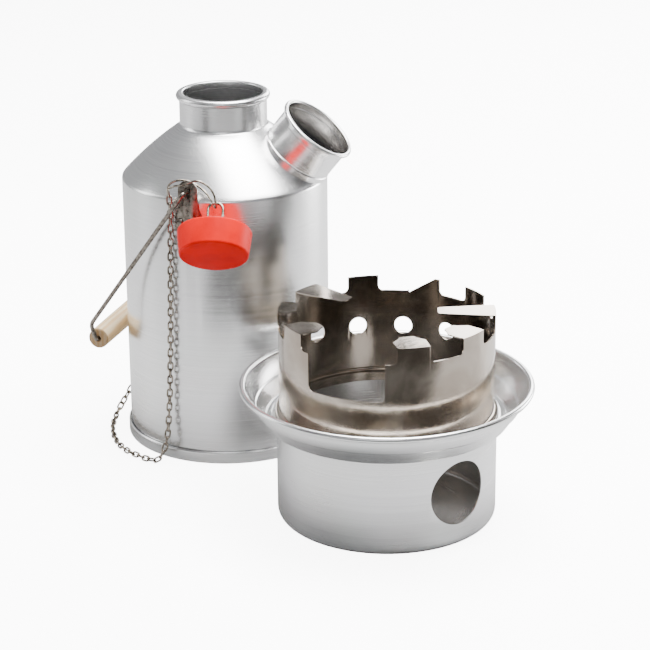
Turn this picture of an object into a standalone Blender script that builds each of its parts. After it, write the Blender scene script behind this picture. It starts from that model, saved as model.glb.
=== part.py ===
"""Chimney kettle, its fire base and the slotted stove ring that stands in the base.

The origin is the centre of the fire base's underside. The kettle stands beside the base, and all
its pieces hang from one empty whose +X points along the spout. Sizes are in metres.
"""

import math

import bmesh
import bpy
from mathutils import Matrix, Vector

MM = 0.001
GAP = 0.3 * MM  # left between pieces that touch
PLATE_GAP = 0.35 * MM  # behind a plate that hugs the body

# Kettle: main sizes
BODY_RADIUS = 68.7 * MM
SHOULDER_Z = 182.1 * MM
NECK_RADIUS = 29.1 * MM
NECK_Z = SHOULDER_Z + 34.6 * MM
KETTLE_TOP = NECK_Z + 21.5 * MM
SPOUT_HEADING = -17.5  # degrees from +X, seen from above
SHELL_WALL = 1.2 * MM
DOME_RISE = 1.5 * MM  # how far the shoulder bulges over a straight cone
DOME_STEPS = 5
CHIMNEY_WALL = 1.0 * MM
CHIMNEY_FOOT_RADIUS = BODY_RADIUS - 7.7 * MM  # leaves the water jacket its floor
CHIMNEY_STRAIGHT_Z = SHOULDER_Z - 4.1 * MM
NECK_BEAD_HEIGHT = 4.6 * MM
NECK_BEAD_PROUD = 2.1 * MM
NECK_BEAD_EDGE = 0.6 * MM

FOOT_PROUD = 1.76 * MM
FOOT_HEIGHT = 8.4 * MM
FOOT_WALL = 1.2 * MM
FOOT_EDGE = 0.8 * MM
SHEET_LIFT = 1.3 * MM  # from the foot's floor to the lower ends of shell and flue

# Spout: a boss pressed out of the middle of the shoulder, and the tube that stands on it
SHOULDER_SLOPE = math.atan2(NECK_Z - SHOULDER_Z, BODY_RADIUS - NECK_RADIUS)
SPOUT_TILT = math.degrees(SHOULDER_SLOPE) - 2.6449  # degrees from the vertical
SPOUT_DOWN = 2.0440 * MM  # from the shoulder's middle down its slope
SPOUT_OUT = 2.6289 * MM  # and square out from it, to the middle of the tube's foot
SPOUT_LENGTH = 22.7 * MM
SPOUT_BORE = 23.5 * MM
SPOUT_WALL = 0.9 * MM
SPOUT_BEAD_PROUD = 1.7 * MM
SPOUT_STEP = 0.35 * MM  # how far the tube widens below its bead
SPOUT_STEP_LOW = 5.2 * MM  # from the rim down to the step
SPOUT_STEP_HEIGHT = 0.4 * MM
SPOUT_CURL_ROOM = 0.15 * MM
BOSS_LIP = 0.5 * MM
BOSS_DEPTH = 12 * MM

# Bail brackets, riveted to the body at its shoulder
BRACKET_WALL = 1.6 * MM
BRACKET_HALF_WIDTH = 9.0 * MM
BRACKET_CORNER = 2.0 * MM
BRACKET_LOW_Z = SHOULDER_Z - 20.6 * MM
EAR_HALF_WIDTH = 6.6 * MM
PIVOT_Z = SHOULDER_Z + 7.5 * MM
RIVET_Z = SHOULDER_Z - 14.1 * MM
BRACKET_WIDE_Z = RIVET_Z + 4 * MM  # the bracket narrows from here
BRACKET_NARROW_Z = RIVET_Z + 9 * MM  # to here
RIVET_SPREAD = 5.6 * MM
RIVET_RADIUS = 1.5 * MM
RIVET_HEAD_RADIUS = 2.6 * MM
RIVET_HEAD_EDGE = 0.5 * MM
RIVET_HEAD_HEIGHT = 1.2 * MM
RIVET_DOME = 0.2 * MM
RIVET_FLAT_SHARE = 0.62
RIVET_SINK = 0.4 * MM  # from the shell's inner side to the rivet's formed tail
RIVET_TAIL = 1.0 * MM
RIVET_TAIL_RADIUS = 2.3 * MM

# Bail: the wire handle and its wooden grip
WIRE_RADIUS = 1.45 * MM
WIRE_HEAD_RADIUS = 2.8 * MM
WIRE_HEAD_LENGTH = 1.2 * MM
WIRE_HEAD_INSET = 0.8 * MM  # from the body's outside in to the head's outer face
BAIL_PLANE_Y = BODY_RADIUS + 10.8 * MM
GRIP_RADIUS = 7.2 * MM
GRIP_HALF_LENGTH = 48.0 * MM
GRIP_EDGE = 0.8 * MM
GRIP_X = -(BODY_RADIUS + GRIP_RADIUS + 0.7 * MM)  # the grip rests 0.7 mm off the body
GRIP_Z = PIVOT_Z - 117.0 * MM
BAIL_CORNER_X = GRIP_X - 3.5 * MM
BAIL_CORNER_Z = GRIP_Z + 10.9 * MM
BAIL_LEG_GAP = 3.0 * MM  # from the grip's end to the middle of the wire's leg
BAIL_TOP_BEND = 3.2 * MM
BAIL_CORNER_BEND = 3.5 * MM
BAIL_GRIP_BEND = BAIL_LEG_GAP - 0.2 * MM

# Stopper, the staple moulded into it and the wire ring that it hangs from
STOPPER_LARGE_RADIUS = SPOUT_BORE + 0.4 * MM
STOPPER_SMALL_RADIUS = SPOUT_BORE - 1.2 * MM
STOPPER_HEIGHT = 17.5 * MM
STOPPER_EDGE = 1.2 * MM
STOPPER_TILT = 43.0  # degrees its axis leans out from the vertical
STOPPER_HEADING = -74.7  # degrees from the spout's direction
STOPPER_HANG_Z = SHOULDER_Z - 13.6 * MM
STOPPER_CLEARANCE = 0.6 * MM  # from its large end to the body
STAPLE_REACH = 20.0 * MM
STAPLE_HALF_WIDTH = 4.8 * MM
STAPLE_WIRE = 0.9 * MM
STAPLE_DEPTH = 5.5 * MM
STAPLE_HOLE_DEPTH = 6.0 * MM
RING_WIRE = 0.7 * MM
RING_STEP = 2.2 * MM

# Chain between the wire ring and the lug at the foot of the body
CHAIN_RADIUS = 2.2 * MM
CHAIN_STEP = 5.4 * MM
LUG_HEADING = 175.0  # degrees from the spout's direction
LUG_HALF_WIDTH = 5.0 * MM
LUG_CORNER = 2.5 * MM
LUG_LOW_Z = 12.0 * MM
LUG_TOP_Z = 33.0 * MM
LUG_RIVET_Z = LUG_TOP_Z - 4.5 * MM
LUG_EAR_Z = LUG_LOW_Z + 6.0 * MM
LUG_EAR_REACH = 8.0 * MM
LUG_EAR_HALF = 3.6 * MM
LUG_EAR_WALL = 1.4 * MM
LUG_HOLE_RADIUS = 1.5 * MM
LUG_HOLE_INSET = 3.8 * MM  # from the ear's tip to the middle of its hole
LUG_WALL = 1.2 * MM

# Fire base: the cup and its flared rim, spun from one sheet
BASE_WALL = 1.2 * MM
CUP_RADIUS = BODY_RADIUS + 0.4 * MM
CUP_CORNER = 4.8 * MM
SEAT_Z = 68.1 * MM  # top of the rounded seat that a ring or a kettle stands on
SEAT_ROUND = 1.6 * MM
SEAT_FLAT = 1.0 * MM
LEDGE_Z = SEAT_Z - 3.4 * MM
LEDGE_OUT = 3.4 * MM
FLARE_FOOT_RADIUS = CUP_RADIUS + 7.9 * MM
FLARE_FOOT_IN = 1.2 * MM
FLARE_FOOT_OUT = 0.4 * MM
FLARE_STEP_RADIUS = CUP_RADIUS + 13.3 * MM
FLARE_STEP_Z = SEAT_Z + 5.9 * MM
FLARE_STEP_OUT = 0.9 * MM
FLARE_STEP_UP = 0.5 * MM
RIM_RADIUS = CUP_RADIUS + 23.1 * MM
RIM_Z = SEAT_Z + 18.1 * MM
RIM_CURL = 1.3 * MM
RIM_CURL_FOOT = 0.8 * MM
AIR_HOLE_HEADING = -51.5  # degrees from +X, seen from above
AIR_HOLE_Z = 0.52423 * SEAT_Z
AIR_HOLE_RADIUS = 0.30103 * SEAT_Z

# The kettle stands beside the base, clear of its rim
KETTLE_BEARING = 126.0868  # degrees from +X, seen from above
KETTLE_CLEARANCE = 14.417 * MM
KETTLE_DISTANCE = RIM_RADIUS + BODY_RADIUS + FOOT_PROUD + KETTLE_CLEARANCE

# Stove ring: a sheet drum that stands on the seat
DRUM_WALL = 0.8 * MM
DRUM_RADIUS = CUP_RADIUS - BASE_WALL - 0.6 * MM
DRUM_BEAD = 2.3 * MM
SPIGOT_LENGTH = 5.5 * MM
NOTCH_Z = SEAT_Z + 56.4 * MM
TAB_TOP_Z = NOTCH_Z + 10.1 * MM
TAB_WIDTH = 20.0 * MM
WINDOW_LOW_Z = NOTCH_Z - 23.9 * MM
WINDOW_FIRST = -46.0  # degrees from the front
WINDOW_LAST = -2.5
NOTCH_CORNER = 3.2 * MM
FLAP_CORNER = 2.4 * MM

# How a folded tab's outline runs: how far in it reaches, how far it keeps its width, half its tip
FLAPS = {
    "short": (19.5 * MM, 12.0 * MM, 5.3 * MM),
    "long": (35.5 * MM, 1.5 * MM, 5.8 * MM),
    "stub": (11.5 * MM, 7.5 * MM, 7.4 * MM),
}

PORT_RADIUS = 5.8 * MM
PORT_Z = NOTCH_Z - 23.7 * MM

# Each tab's place, in degrees from the front, and what is done with it
TABS = (
    (12.5, "short"),
    (49.8, "short"),
    (89.0, "long"),
    (121.5, "upright"),
    (156.5, "spike"),
    (191.5, "upright"),
    (229.0, "long"),
    (263.0, "stub"),
    (299.8, "short"),
)
PORTS = (117.0, 143.0, 169.0, 194.5, 220.0, 246.0)

TURN_STEPS = 48
SMALL_STEPS = 32
PORT_STEPS = 14
HOLE_STEPS = 12
HOLE_REACH = 6 * MM  # how far a hole's cutter runs past a wall, each way
CUT_PAST = 5 * MM  # how far other cutters run past what they cut
ROUTE_STEPS = 12


def clear_scene():
    for old in list(bpy.data.objects):
        bpy.data.objects.remove(old, do_unlink=True)


def material(name, colour, metallic, roughness):
    made = bpy.data.materials.new(name)
    made.use_nodes = True
    shader = made.node_tree.nodes["Principled BSDF"]
    shader.inputs["Base Color"].default_value = (*colour, 1.0)
    shader.inputs["Metallic"].default_value = metallic
    shader.inputs["Roughness"].default_value = roughness
    return made


def link(name, data, finish, parent=None):
    made = bpy.data.objects.new(name, data)
    bpy.context.scene.collection.objects.link(made)
    data.materials.append(finish)
    made.parent = parent
    return made


def empty(name, place, heading, parent=None):
    made = bpy.data.objects.new(name, None)
    bpy.context.scene.collection.objects.link(made)
    made.location = place
    made.rotation_euler = (0, 0, math.radians(heading))
    made.parent = parent
    return made


def finished(bm, name, finish, parent=None):
    """Turns a bmesh into a named object whose faces point outwards."""
    bmesh.ops.recalc_face_normals(bm, faces=bm.faces)
    mesh = bpy.data.meshes.new(name)
    bm.to_mesh(mesh)
    bm.free()
    mesh.shade_smooth()
    mesh.set_sharp_from_angle(angle=math.radians(35))
    return link(name, mesh, finish, parent)


def arc(centre_r, centre_z, radius, start, end, steps):
    """Points of a round stretch, from one angle to another, in degrees."""
    turns = [math.radians(start + (end - start) * i / steps) for i in range(steps + 1)]
    return [(centre_r + radius * math.cos(t), centre_z + radius * math.sin(t)) for t in turns]


def sheet_outline(path, wall):
    """The closed outline of a sheet whose middle follows the path, with mitred bends."""
    sides = ([], [])
    for i, point in enumerate(path):
        here = Vector(point)
        before = (here - Vector(path[max(i - 1, 0)])).normalized()
        after = (Vector(path[min(i + 1, len(path) - 1)]) - here).normalized()
        along = (before + after).normalized()
        one_way = after if before.length == 0 else before
        normal = Vector((-along.y, along.x))
        reach = wall / 2 / max(normal.dot(Vector((-one_way.y, one_way.x))), 0.3)
        sides[0].append(tuple(here + normal * reach))
        sides[1].append(tuple(here - normal * reach))
    return sides[0] + sides[1][::-1]


def turned_bmesh(outline, steps):
    """A closed outline of (radius, height) points, turned round the Z axis."""
    bm = bmesh.new()
    rings = []
    for radius, height in outline:
        if radius < 1e-7:
            rings.append([bm.verts.new((0, 0, height))] * steps)
            continue
        turns = [math.tau * i / steps for i in range(steps)]
        rings.append([bm.verts.new((radius * math.cos(t), radius * math.sin(t), height)) for t in turns])
    for i, ring in enumerate(rings):
        other = rings[(i + 1) % len(rings)]
        for j in range(steps):
            k = (j + 1) % steps
            corners = [ring[j], ring[k], other[k], other[j]]
            corners = [v for n, v in enumerate(corners) if v not in corners[:n]]
            if len(corners) > 2:
                bm.faces.new(corners)
    return bm


def turned(name, outline, finish, parent=None, steps=TURN_STEPS):
    return finished(turned_bmesh(outline, steps), name, finish, parent)


def prism(name, outline, near, far, frame, finish, parent=None):
    """An outline in a frame's XZ plane, drawn out along the frame's Y axis."""
    bm = bmesh.new()
    ends = [[bm.verts.new(frame @ Vector((x, y, z))) for x, z in outline] for y in (near, far)]
    bm.faces.new(ends[0])
    bm.faces.new(ends[1][::-1])
    for i in range(len(outline)):
        j = (i + 1) % len(outline)
        bm.faces.new((ends[0][i], ends[1][i], ends[1][j], ends[0][j]))
    return finished(bm, name, finish, parent)


def rod(name, start, end, radius, finish, parent=None, steps=16):
    """A plain round bar between two points."""
    start, end = Vector(start), Vector(end)
    frame = (end - start).to_track_quat("Z", "Y").to_matrix().to_4x4()
    outline = [(0, 0), (radius, 0), (radius, (end - start).length), (0, (end - start).length)]
    bm = turned_bmesh(outline, steps)
    bm.transform(Matrix.Translation(start) @ frame)
    return finished(bm, name, finish, parent)


def round_rect(half_width, low, high, corner, steps=4):
    """A rectangle with round corners, as (x, z) points."""
    outline = []
    for side, level, start in ((1, high, 0), (-1, high, 90), (-1, low, 180), (1, low, 270)):
        inward = -1 if level == high else 1
        centre = (side * (half_width - corner), level + inward * corner)
        outline += arc(*centre, corner, start, start + 90, steps)
    return outline


def smooth_route(points, step, cyclic=False):
    """Evenly read points of a smooth curve through the given ones."""
    points = [Vector(p) for p in points]
    count = len(points)
    dense = []
    for i in range(count if cyclic else count - 1):
        picks = [(i + k) % count if cyclic else min(max(i + k, 0), count - 1) for k in (-1, 0, 1, 2)]
        around = [points[n] for n in picks]
        for n in range(ROUTE_STEPS):
            t = n / ROUTE_STEPS
            dense.append(
                0.5
                * (
                    2 * around[1]
                    + (around[2] - around[0]) * t
                    + (2 * around[0] - 5 * around[1] + 4 * around[2] - around[3]) * t**2
                    + (3 * around[1] - around[0] - 3 * around[2] + around[3]) * t**3
                )
            )
    dense.append(points[0] if cyclic else points[-1])
    route = [dense[0]]
    walked = 0.0
    for before, after in zip(dense, dense[1:]):
        walked += (after - before).length
        if walked >= step:
            route.append(after)
            walked = 0.0
    if not cyclic and (route[-1] - dense[-1]).length > 1e-6:
        route[-1 if walked < step / 2 else len(route) :] = [dense[-1]]
    if cyclic and (route[-1] - route[0]).length < step / 2:
        route.pop()
    return route


def wire(name, points, radius, finish, parent=None, cyclic=False, swell=None, sides=2):
    """A round wire along the points. swell gives a point's own share of the radius."""
    curve = bpy.data.curves.new(name, "CURVE")
    curve.dimensions = "3D"
    curve.bevel_depth = radius
    curve.bevel_resolution = sides
    curve.use_fill_caps = True
    spline = curve.splines.new("POLY")
    spline.points.add(len(points) - 1)
    spline.use_cyclic_u = cyclic
    for i, place in enumerate(points):
        spline.points[i].co = (*place, 1.0)
        spline.points[i].radius = swell.get(i, 1.0) if swell else 1.0
    return link(name, curve, finish, parent)


def boolean(target, tool, operation):
    """Adds the exact Boolean and puts the tool out of sight."""
    change = target.modifiers.new(f"{operation} {tool.name}", "BOOLEAN")
    change.operation = operation
    change.solver = "EXACT"
    change.object = tool
    tool.hide_render = True
    tool.display_type = "WIRE"


def about(heading, place=(0, 0, 0)):
    """A frame at a place, turned so that its -Y axis points to the heading (degrees from +X)."""
    return Matrix.Translation(place) @ Matrix.Rotation(math.radians(heading + 90), 4, "Z")


def pivot_frame(side):
    """The kettle's frame seen from the front bracket (1) or from the rear one (-1)."""
    return Matrix.Diagonal((side, side, 1, 1)) if side < 0 else Matrix.Identity(4)


def shoulder(outer):
    """The kettle's shoulder as a shallow dome, on its outer or on its inner side."""
    inset = 0 if outer else SHELL_WALL
    foot = Vector((BODY_RADIUS - inset, SHOULDER_Z - (0 if outer else 0.5 * SHELL_WALL)))
    head = Vector((NECK_RADIUS - inset, NECK_Z - (0 if outer else 0.5 * SHELL_WALL)))
    across = (head - foot).orthogonal().normalized()
    if across.x < 0:
        across.negate()
    shares = [i / DOME_STEPS for i in range(DOME_STEPS + 1)]
    return [tuple(foot.lerp(head, t) + across * DOME_RISE * 4 * t * (1 - t)) for t in shares]


def make_shell(finish, frame):
    """The outer shell: body, domed shoulder, neck and the boss that the spout stands on."""
    low = FOOT_WALL + SHEET_LIFT
    top = KETTLE_TOP - NECK_BEAD_HEIGHT - GAP
    outside = [(0, low), (BODY_RADIUS, low)] + shoulder(True) + [(NECK_RADIUS, top), (0, top)]
    bore = NECK_RADIUS - SHELL_WALL
    inside = [(0, low - CUT_PAST), (BODY_RADIUS - SHELL_WALL, low - CUT_PAST)] + shoulder(False)
    inside += [(bore, top + CUT_PAST), (0, top + CUT_PAST)]
    shell = turned("kettle_shell", outside, finish, frame)
    hollow = turned("shell_hollow", inside, finish, frame)

    seat, along = spout_seat()
    boss_radius = SPOUT_BORE + SPOUT_WALL + BOSS_LIP
    boss_foot = seat - along * BOSS_DEPTH
    boss = rod("boss_outside", boss_foot, seat, boss_radius, finish, frame, SMALL_STEPS)
    near, far = boss_foot - along * 2 * MM, seat + along * CUT_PAST
    bore_tool = rod("boss_bore", near, far, boss_radius - SHELL_WALL, finish, frame, SMALL_STEPS)
    boolean(shell, boss, "UNION")
    boolean(shell, hollow, "DIFFERENCE")
    boolean(shell, bore_tool, "DIFFERENCE")
    for side in (1, -1):
        for across in (-RIVET_SPREAD, RIVET_SPREAD):
            cut_rivet_hole(shell, (across, RIVET_Z), pivot_frame(side), finish, frame)
    cut_rivet_hole(shell, (0, LUG_RIVET_Z), about(LUG_HEADING), finish, frame)
    return shell


def spout_seat():
    """The middle of the spout's foot, and the way the spout points."""
    across, up = math.cos(SHOULDER_SLOPE), math.sin(SHOULDER_SLOPE)
    x = (BODY_RADIUS + NECK_RADIUS) / 2 + SPOUT_DOWN * across + SPOUT_OUT * up
    z = (SHOULDER_Z + NECK_Z) / 2 - SPOUT_DOWN * up + SPOUT_OUT * across
    tilt = math.radians(SPOUT_TILT)
    return Vector((x, 0, z)), Vector((math.sin(tilt), 0, math.cos(tilt)))


def cut_rivet_hole(target, place, facing, finish, frame):
    """A clear hole for a rivet, square through a wall that faces a frame's -Y."""
    across, height = place
    turned_to = facing @ Matrix.Rotation(math.asin(across / (BODY_RADIUS + PLATE_GAP)), 4, "Z")
    near = turned_to @ Vector((0, -BODY_RADIUS - HOLE_REACH, height))
    far = turned_to @ Vector((0, -BODY_RADIUS + HOLE_REACH, height))
    tool = rod(f"{target.name}_rivet_hole", near, far, RIVET_RADIUS + GAP, finish, frame, HOLE_STEPS)
    boolean(target, tool, "DIFFERENCE")


def make_chimney(finish, frame):
    """The flue up the middle: a cone, then a straight stretch inside the neck."""
    radius = NECK_RADIUS - SHELL_WALL - GAP - CHIMNEY_WALL / 2
    top = KETTLE_TOP - NECK_BEAD_HEIGHT - GAP
    path = [(CHIMNEY_FOOT_RADIUS, FOOT_WALL + SHEET_LIFT), (radius, CHIMNEY_STRAIGHT_Z), (radius, top)]
    return turned("chimney_tube", sheet_outline(path, CHIMNEY_WALL), finish, frame)


def make_foot(finish, frame):
    """The channel that closes the water jacket from below and that the kettle stands on."""
    outer = BODY_RADIUS + FOOT_PROUD
    inner = CHIMNEY_FOOT_RADIUS - CHIMNEY_WALL / 2 - GAP - FOOT_WALL
    shell_clear = BODY_RADIUS + 2 * GAP
    chimney_clear = inner + FOOT_WALL
    outline = [
        (inner, 0),
        (outer - FOOT_EDGE, 0),
        (outer, FOOT_EDGE),
        (outer, FOOT_HEIGHT),
        (shell_clear, FOOT_HEIGHT),
        (shell_clear, FOOT_WALL),
        (chimney_clear - 1.0 * MM, FOOT_WALL),
        (chimney_clear - 1.4 * MM, FOOT_WALL + FOOT_EDGE),
        (inner, FOOT_WALL + FOOT_EDGE),
    ]
    return turned("foot_ring", outline, finish, frame)


def make_neck_bead(finish, frame):
    """The rolled bead that joins the neck to the flue."""
    low = KETTLE_TOP - NECK_BEAD_HEIGHT
    inner = NECK_RADIUS - SHELL_WALL - GAP - CHIMNEY_WALL
    outer = NECK_RADIUS + NECK_BEAD_PROUD
    middle = low + NECK_BEAD_HEIGHT / 2
    half = NECK_BEAD_HEIGHT / 2
    outline = [(inner, low), (outer - half, low)]
    outline += arc(outer - half, middle, half, -60, 90, 5) + [(inner + NECK_BEAD_EDGE, KETTLE_TOP)]
    outline += [(inner, KETTLE_TOP - NECK_BEAD_EDGE)]
    return turned("neck_bead", outline, finish, frame, SMALL_STEPS)


def make_spout(finish, frame):
    """The filling and pouring tube, with a rolled bead at its mouth."""
    middle = SPOUT_BORE + SPOUT_WALL / 2
    curl = SPOUT_BEAD_PROUD / 2 + SPOUT_CURL_ROOM
    step_z = SPOUT_LENGTH - SPOUT_STEP_LOW
    wide = middle + SPOUT_STEP
    path = [(middle, GAP), (middle, step_z), (wide, step_z + SPOUT_STEP_HEIGHT), (wide, SPOUT_LENGTH - curl)]
    path += arc(wide + curl, SPOUT_LENGTH - curl, curl, 150, -20, 5)
    bm = turned_bmesh(sheet_outline(path, SPOUT_WALL), SMALL_STEPS)
    tilt = Matrix.Rotation(math.radians(SPOUT_TILT), 4, "Y")
    seat, _ = spout_seat()
    bm.transform(Matrix.Translation(seat) @ tilt)
    return finished(bm, "filler_spout", finish, frame)


def bracket_plate(name, outline, wall, facing, finish, frame):
    """A plate that hugs the body: a curved band trimmed to an outline, facing a frame's -Y."""
    inner = BODY_RADIUS + PLATE_GAP
    heights = [z for x, z in outline]
    low, high = min(heights) - MM, max(heights) + MM
    band = [(inner, low), (inner + wall, low), (inner + wall, high), (inner, high)]
    plate = turned(name, band, finish, frame, 2 * TURN_STEPS)
    trim = prism(f"{name}_trim", outline, -2 * BODY_RADIUS, -0.5 * BODY_RADIUS, facing, finish, frame)
    boolean(plate, trim, "INTERSECT")
    return plate


def make_bracket(name, side, finish, frame):
    """A bail bracket: a riveted foot, and an ear with the hole that the wire turns in."""
    half, low = BRACKET_HALF_WIDTH, BRACKET_LOW_Z
    right = [
        (half - BRACKET_CORNER, low),
        (half, low + BRACKET_CORNER),
        (half, BRACKET_WIDE_Z),
        (EAR_HALF_WIDTH, BRACKET_NARROW_Z),
    ]
    left = [(-x, z) for x, z in reversed(right)]
    outline = right + arc(0, PIVOT_Z, EAR_HALF_WIDTH, 0, 180, 8) + left
    facing = pivot_frame(side)
    plate = bracket_plate(name, outline, BRACKET_WALL, facing, finish, frame)
    for across in (-RIVET_SPREAD, RIVET_SPREAD):
        cut_rivet_hole(plate, (across, RIVET_Z), facing, finish, frame)
    near = facing @ Vector((0, -BODY_RADIUS - HOLE_REACH, PIVOT_Z))
    far = facing @ Vector((0, -BODY_RADIUS + HOLE_REACH, PIVOT_Z))
    hole = rod(f"{name}_pivot_hole", near, far, WIRE_RADIUS + 2 * GAP, finish, frame, HOLE_STEPS)
    boolean(plate, hole, "DIFFERENCE")
    return plate


def make_rivet(name, place, wall, facing, finish, frame):
    """A dome-headed rivet through a plate and the shell, facing a frame's -Y."""
    across, height = place
    face = BODY_RADIUS + PLATE_GAP + wall
    tail = face - BODY_RADIUS + SHELL_WALL + RIVET_SINK
    outline = [(0, -tail - RIVET_TAIL), (RIVET_TAIL_RADIUS, -tail - RIVET_TAIL), (RIVET_TAIL_RADIUS, -tail)]
    outline += [(RIVET_RADIUS, -tail), (RIVET_RADIUS, GAP), (RIVET_HEAD_RADIUS, GAP)]
    outline += [(RIVET_HEAD_RADIUS, RIVET_HEAD_EDGE)]
    outline += [(RIVET_FLAT_SHARE * RIVET_HEAD_RADIUS, RIVET_HEAD_HEIGHT)]
    outline += [(0, RIVET_HEAD_HEIGHT + RIVET_DOME)]
    turn = math.asin(across / face)
    bm = turned_bmesh(outline, HOLE_STEPS)
    out = Matrix.Rotation(math.radians(90), 4, "X")
    bm.transform(facing @ Matrix.Rotation(turn, 4, "Z") @ Matrix.Translation((0, -face, height)) @ out)
    return finished(bm, name, finish, frame)


def bail_points():
    """The wire from the front bracket round the grip to the rear one."""
    head_y = BODY_RADIUS - WIRE_HEAD_INSET
    leg_y = GRIP_HALF_LENGTH + BAIL_LEG_GAP
    pivot_end = Vector((0, -BAIL_PLANE_Y, PIVOT_Z))
    corner = Vector((BAIL_CORNER_X, -leg_y, BAIL_CORNER_Z))
    foot = Vector((GRIP_X, -leg_y, GRIP_Z))
    front = [
        Vector((0, -head_y + WIRE_HEAD_LENGTH, PIVOT_Z)),
        Vector((0, -head_y, PIVOT_Z)),
        Vector((0, -head_y - 0.02 * MM, PIVOT_Z)),
    ]
    start, end = Vector((0, -head_y - 3.0 * MM, PIVOT_Z)), Vector((GRIP_X, 0, GRIP_Z))
    front += [start]
    front += rounded_corner(start, pivot_end, corner, BAIL_TOP_BEND)
    front += rounded_corner(pivot_end, corner, foot, BAIL_CORNER_BEND)
    front += rounded_corner(corner, foot, end, BAIL_GRIP_BEND)
    rear = [Vector((p.x, -p.y, p.z)) for p in reversed(front)]
    return front + rear


def rounded_corner(before, corner, after, cut):
    """Points of a bend that leaves each straight run a set length before the corner."""
    first = corner + (before - corner).normalized() * cut
    last = corner + (after - corner).normalized() * cut
    steps = 4
    shares = [i / steps for i in range(steps + 1)]
    return [first.lerp(corner, t).lerp(corner.lerp(last, t), t) for t in shares]


def make_bail(finish, frame):
    points = bail_points()
    last = len(points) - 1
    big = WIRE_HEAD_RADIUS / WIRE_RADIUS
    swell = {0: big, 1: big, last - 1: big, last: big}
    pivot = empty("bail_pivot", (0, 0, PIVOT_Z), 0, frame)
    points = [p - Vector((0, 0, PIVOT_Z)) for p in points]
    wire("bail_wire", points, WIRE_RADIUS, finish, pivot, swell=swell)
    return pivot


def make_grip(finish, pivot):
    """The turned wooden grip, bored for the wire, with its axis along the frame's Y."""
    bore = WIRE_RADIUS + GAP
    half = GRIP_HALF_LENGTH
    edge = GRIP_EDGE
    outline = [(bore, -half), (GRIP_RADIUS - edge, -half), (GRIP_RADIUS, -half + edge)]
    outline += [(GRIP_RADIUS, half - edge), (GRIP_RADIUS - edge, half), (bore, half)]
    bm = turned_bmesh(outline, 24)
    bm.transform(Matrix.Rotation(math.radians(90), 4, "X"))
    grip = finished(bm, "bail_grip", finish, pivot)
    grip.location = (GRIP_X, 0, GRIP_Z - PIVOT_Z)
    return grip


def stopper_frame():
    """The stopper's frame: its origin where it hangs, -Z along its axis, and its size at that place."""
    out = math.radians(STOPPER_HEADING)
    outward = Vector((math.cos(out), math.sin(out), 0))
    lean = math.radians(STOPPER_TILT)
    axis = outward * math.sin(lean) - Vector((0, 0, math.cos(lean)))
    wall_reach = STOPPER_LARGE_RADIUS * math.cos(lean) + STOPPER_CLEARANCE
    top = outward * (BODY_RADIUS + wall_reach) + Vector((0, 0, STOPPER_HANG_Z))
    across = Vector((0, 0, 1)).cross(outward)
    normal = axis.cross(across)
    frame = Matrix((across, normal, -axis)).transposed().to_4x4()
    return Matrix.Translation(top - axis * STAPLE_REACH) @ frame


def make_stopper(finish, frame):
    """The tapered plug, its large end up, with two holes for the staple's legs."""
    top = -STAPLE_REACH
    low = top - STOPPER_HEIGHT
    edge = STOPPER_EDGE
    outline = [(0, low), (STOPPER_SMALL_RADIUS - edge, low), (STOPPER_SMALL_RADIUS, low + edge)]
    outline += [(STOPPER_LARGE_RADIUS, top - edge), (STOPPER_LARGE_RADIUS - edge, top), (0, top)]
    plug = turned("stopper", outline, finish, frame, SMALL_STEPS)
    for side in (-1, 1):
        x = side * STAPLE_HALF_WIDTH
        deep, high = (x, 0, top - STAPLE_HOLE_DEPTH), (x, 0, top + CUT_PAST)
        hole = rod("staple_hole", deep, high, STAPLE_WIRE + GAP, finish, frame, 8)
        boolean(plug, hole, "DIFFERENCE")
    return plug


def make_staple(finish, frame):
    """The U of wire that the stopper hangs by, sunk in its top."""
    foot = -STAPLE_REACH - STAPLE_DEPTH
    bend = STAPLE_HALF_WIDTH
    points = [(-bend, foot)] + arc(0, -bend, bend, 180, 0, 8) + [(bend, foot)]
    return wire("stopper_staple", [(x, 0, z) for x, z in points], STAPLE_WIRE, finish, frame, sides=2)


def ring_points():
    """The wire ring's route: over the front bracket's ear, through the staple, and behind the ear."""
    hang = stopper_frame()
    through = hang @ Vector((0, 0, -2.1 * MM))
    fore = hang @ Vector((0.3 * MM, 3.0 * MM, -1.6 * MM))
    back = hang @ Vector((-0.6 * MM, -2.8 * MM, -2.0 * MM))
    # each point: along the body, out from it, and up from the pivot
    front_leg = [(-12.6, 2.9, 1.0), (-8.0, 3.9, 3.0), (-2.0, 4.2, 4.6), (3.5, 4.0, 6.8)]
    front_leg += [(8.5, 3.3, 7.6), (14.0, 2.3, 4.6), (18.2, 2.9, 0.0)]
    back_leg = [(15.2, 0.2, -5.2), (9.6, -2.0, 0.2), (0.0, -2.7, 5.0), (-7.6, -1.5, 5.4), (-12.0, 0.7, 3.6)]
    pivot = Vector((0, -BODY_RADIUS, PIVOT_Z))
    front = [pivot + Vector((x, -out, up)) * MM for x, out, up in front_leg]
    rear = [pivot + Vector((x, -out, up)) * MM for x, out, up in back_leg]
    return front + [fore, through, back] + rear


def make_ring(finish, frame):
    route = smooth_route(ring_points(), RING_STEP, cyclic=True)
    return wire("stopper_ring", route, RING_WIRE, finish, frame, cyclic=True, sides=1)


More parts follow.
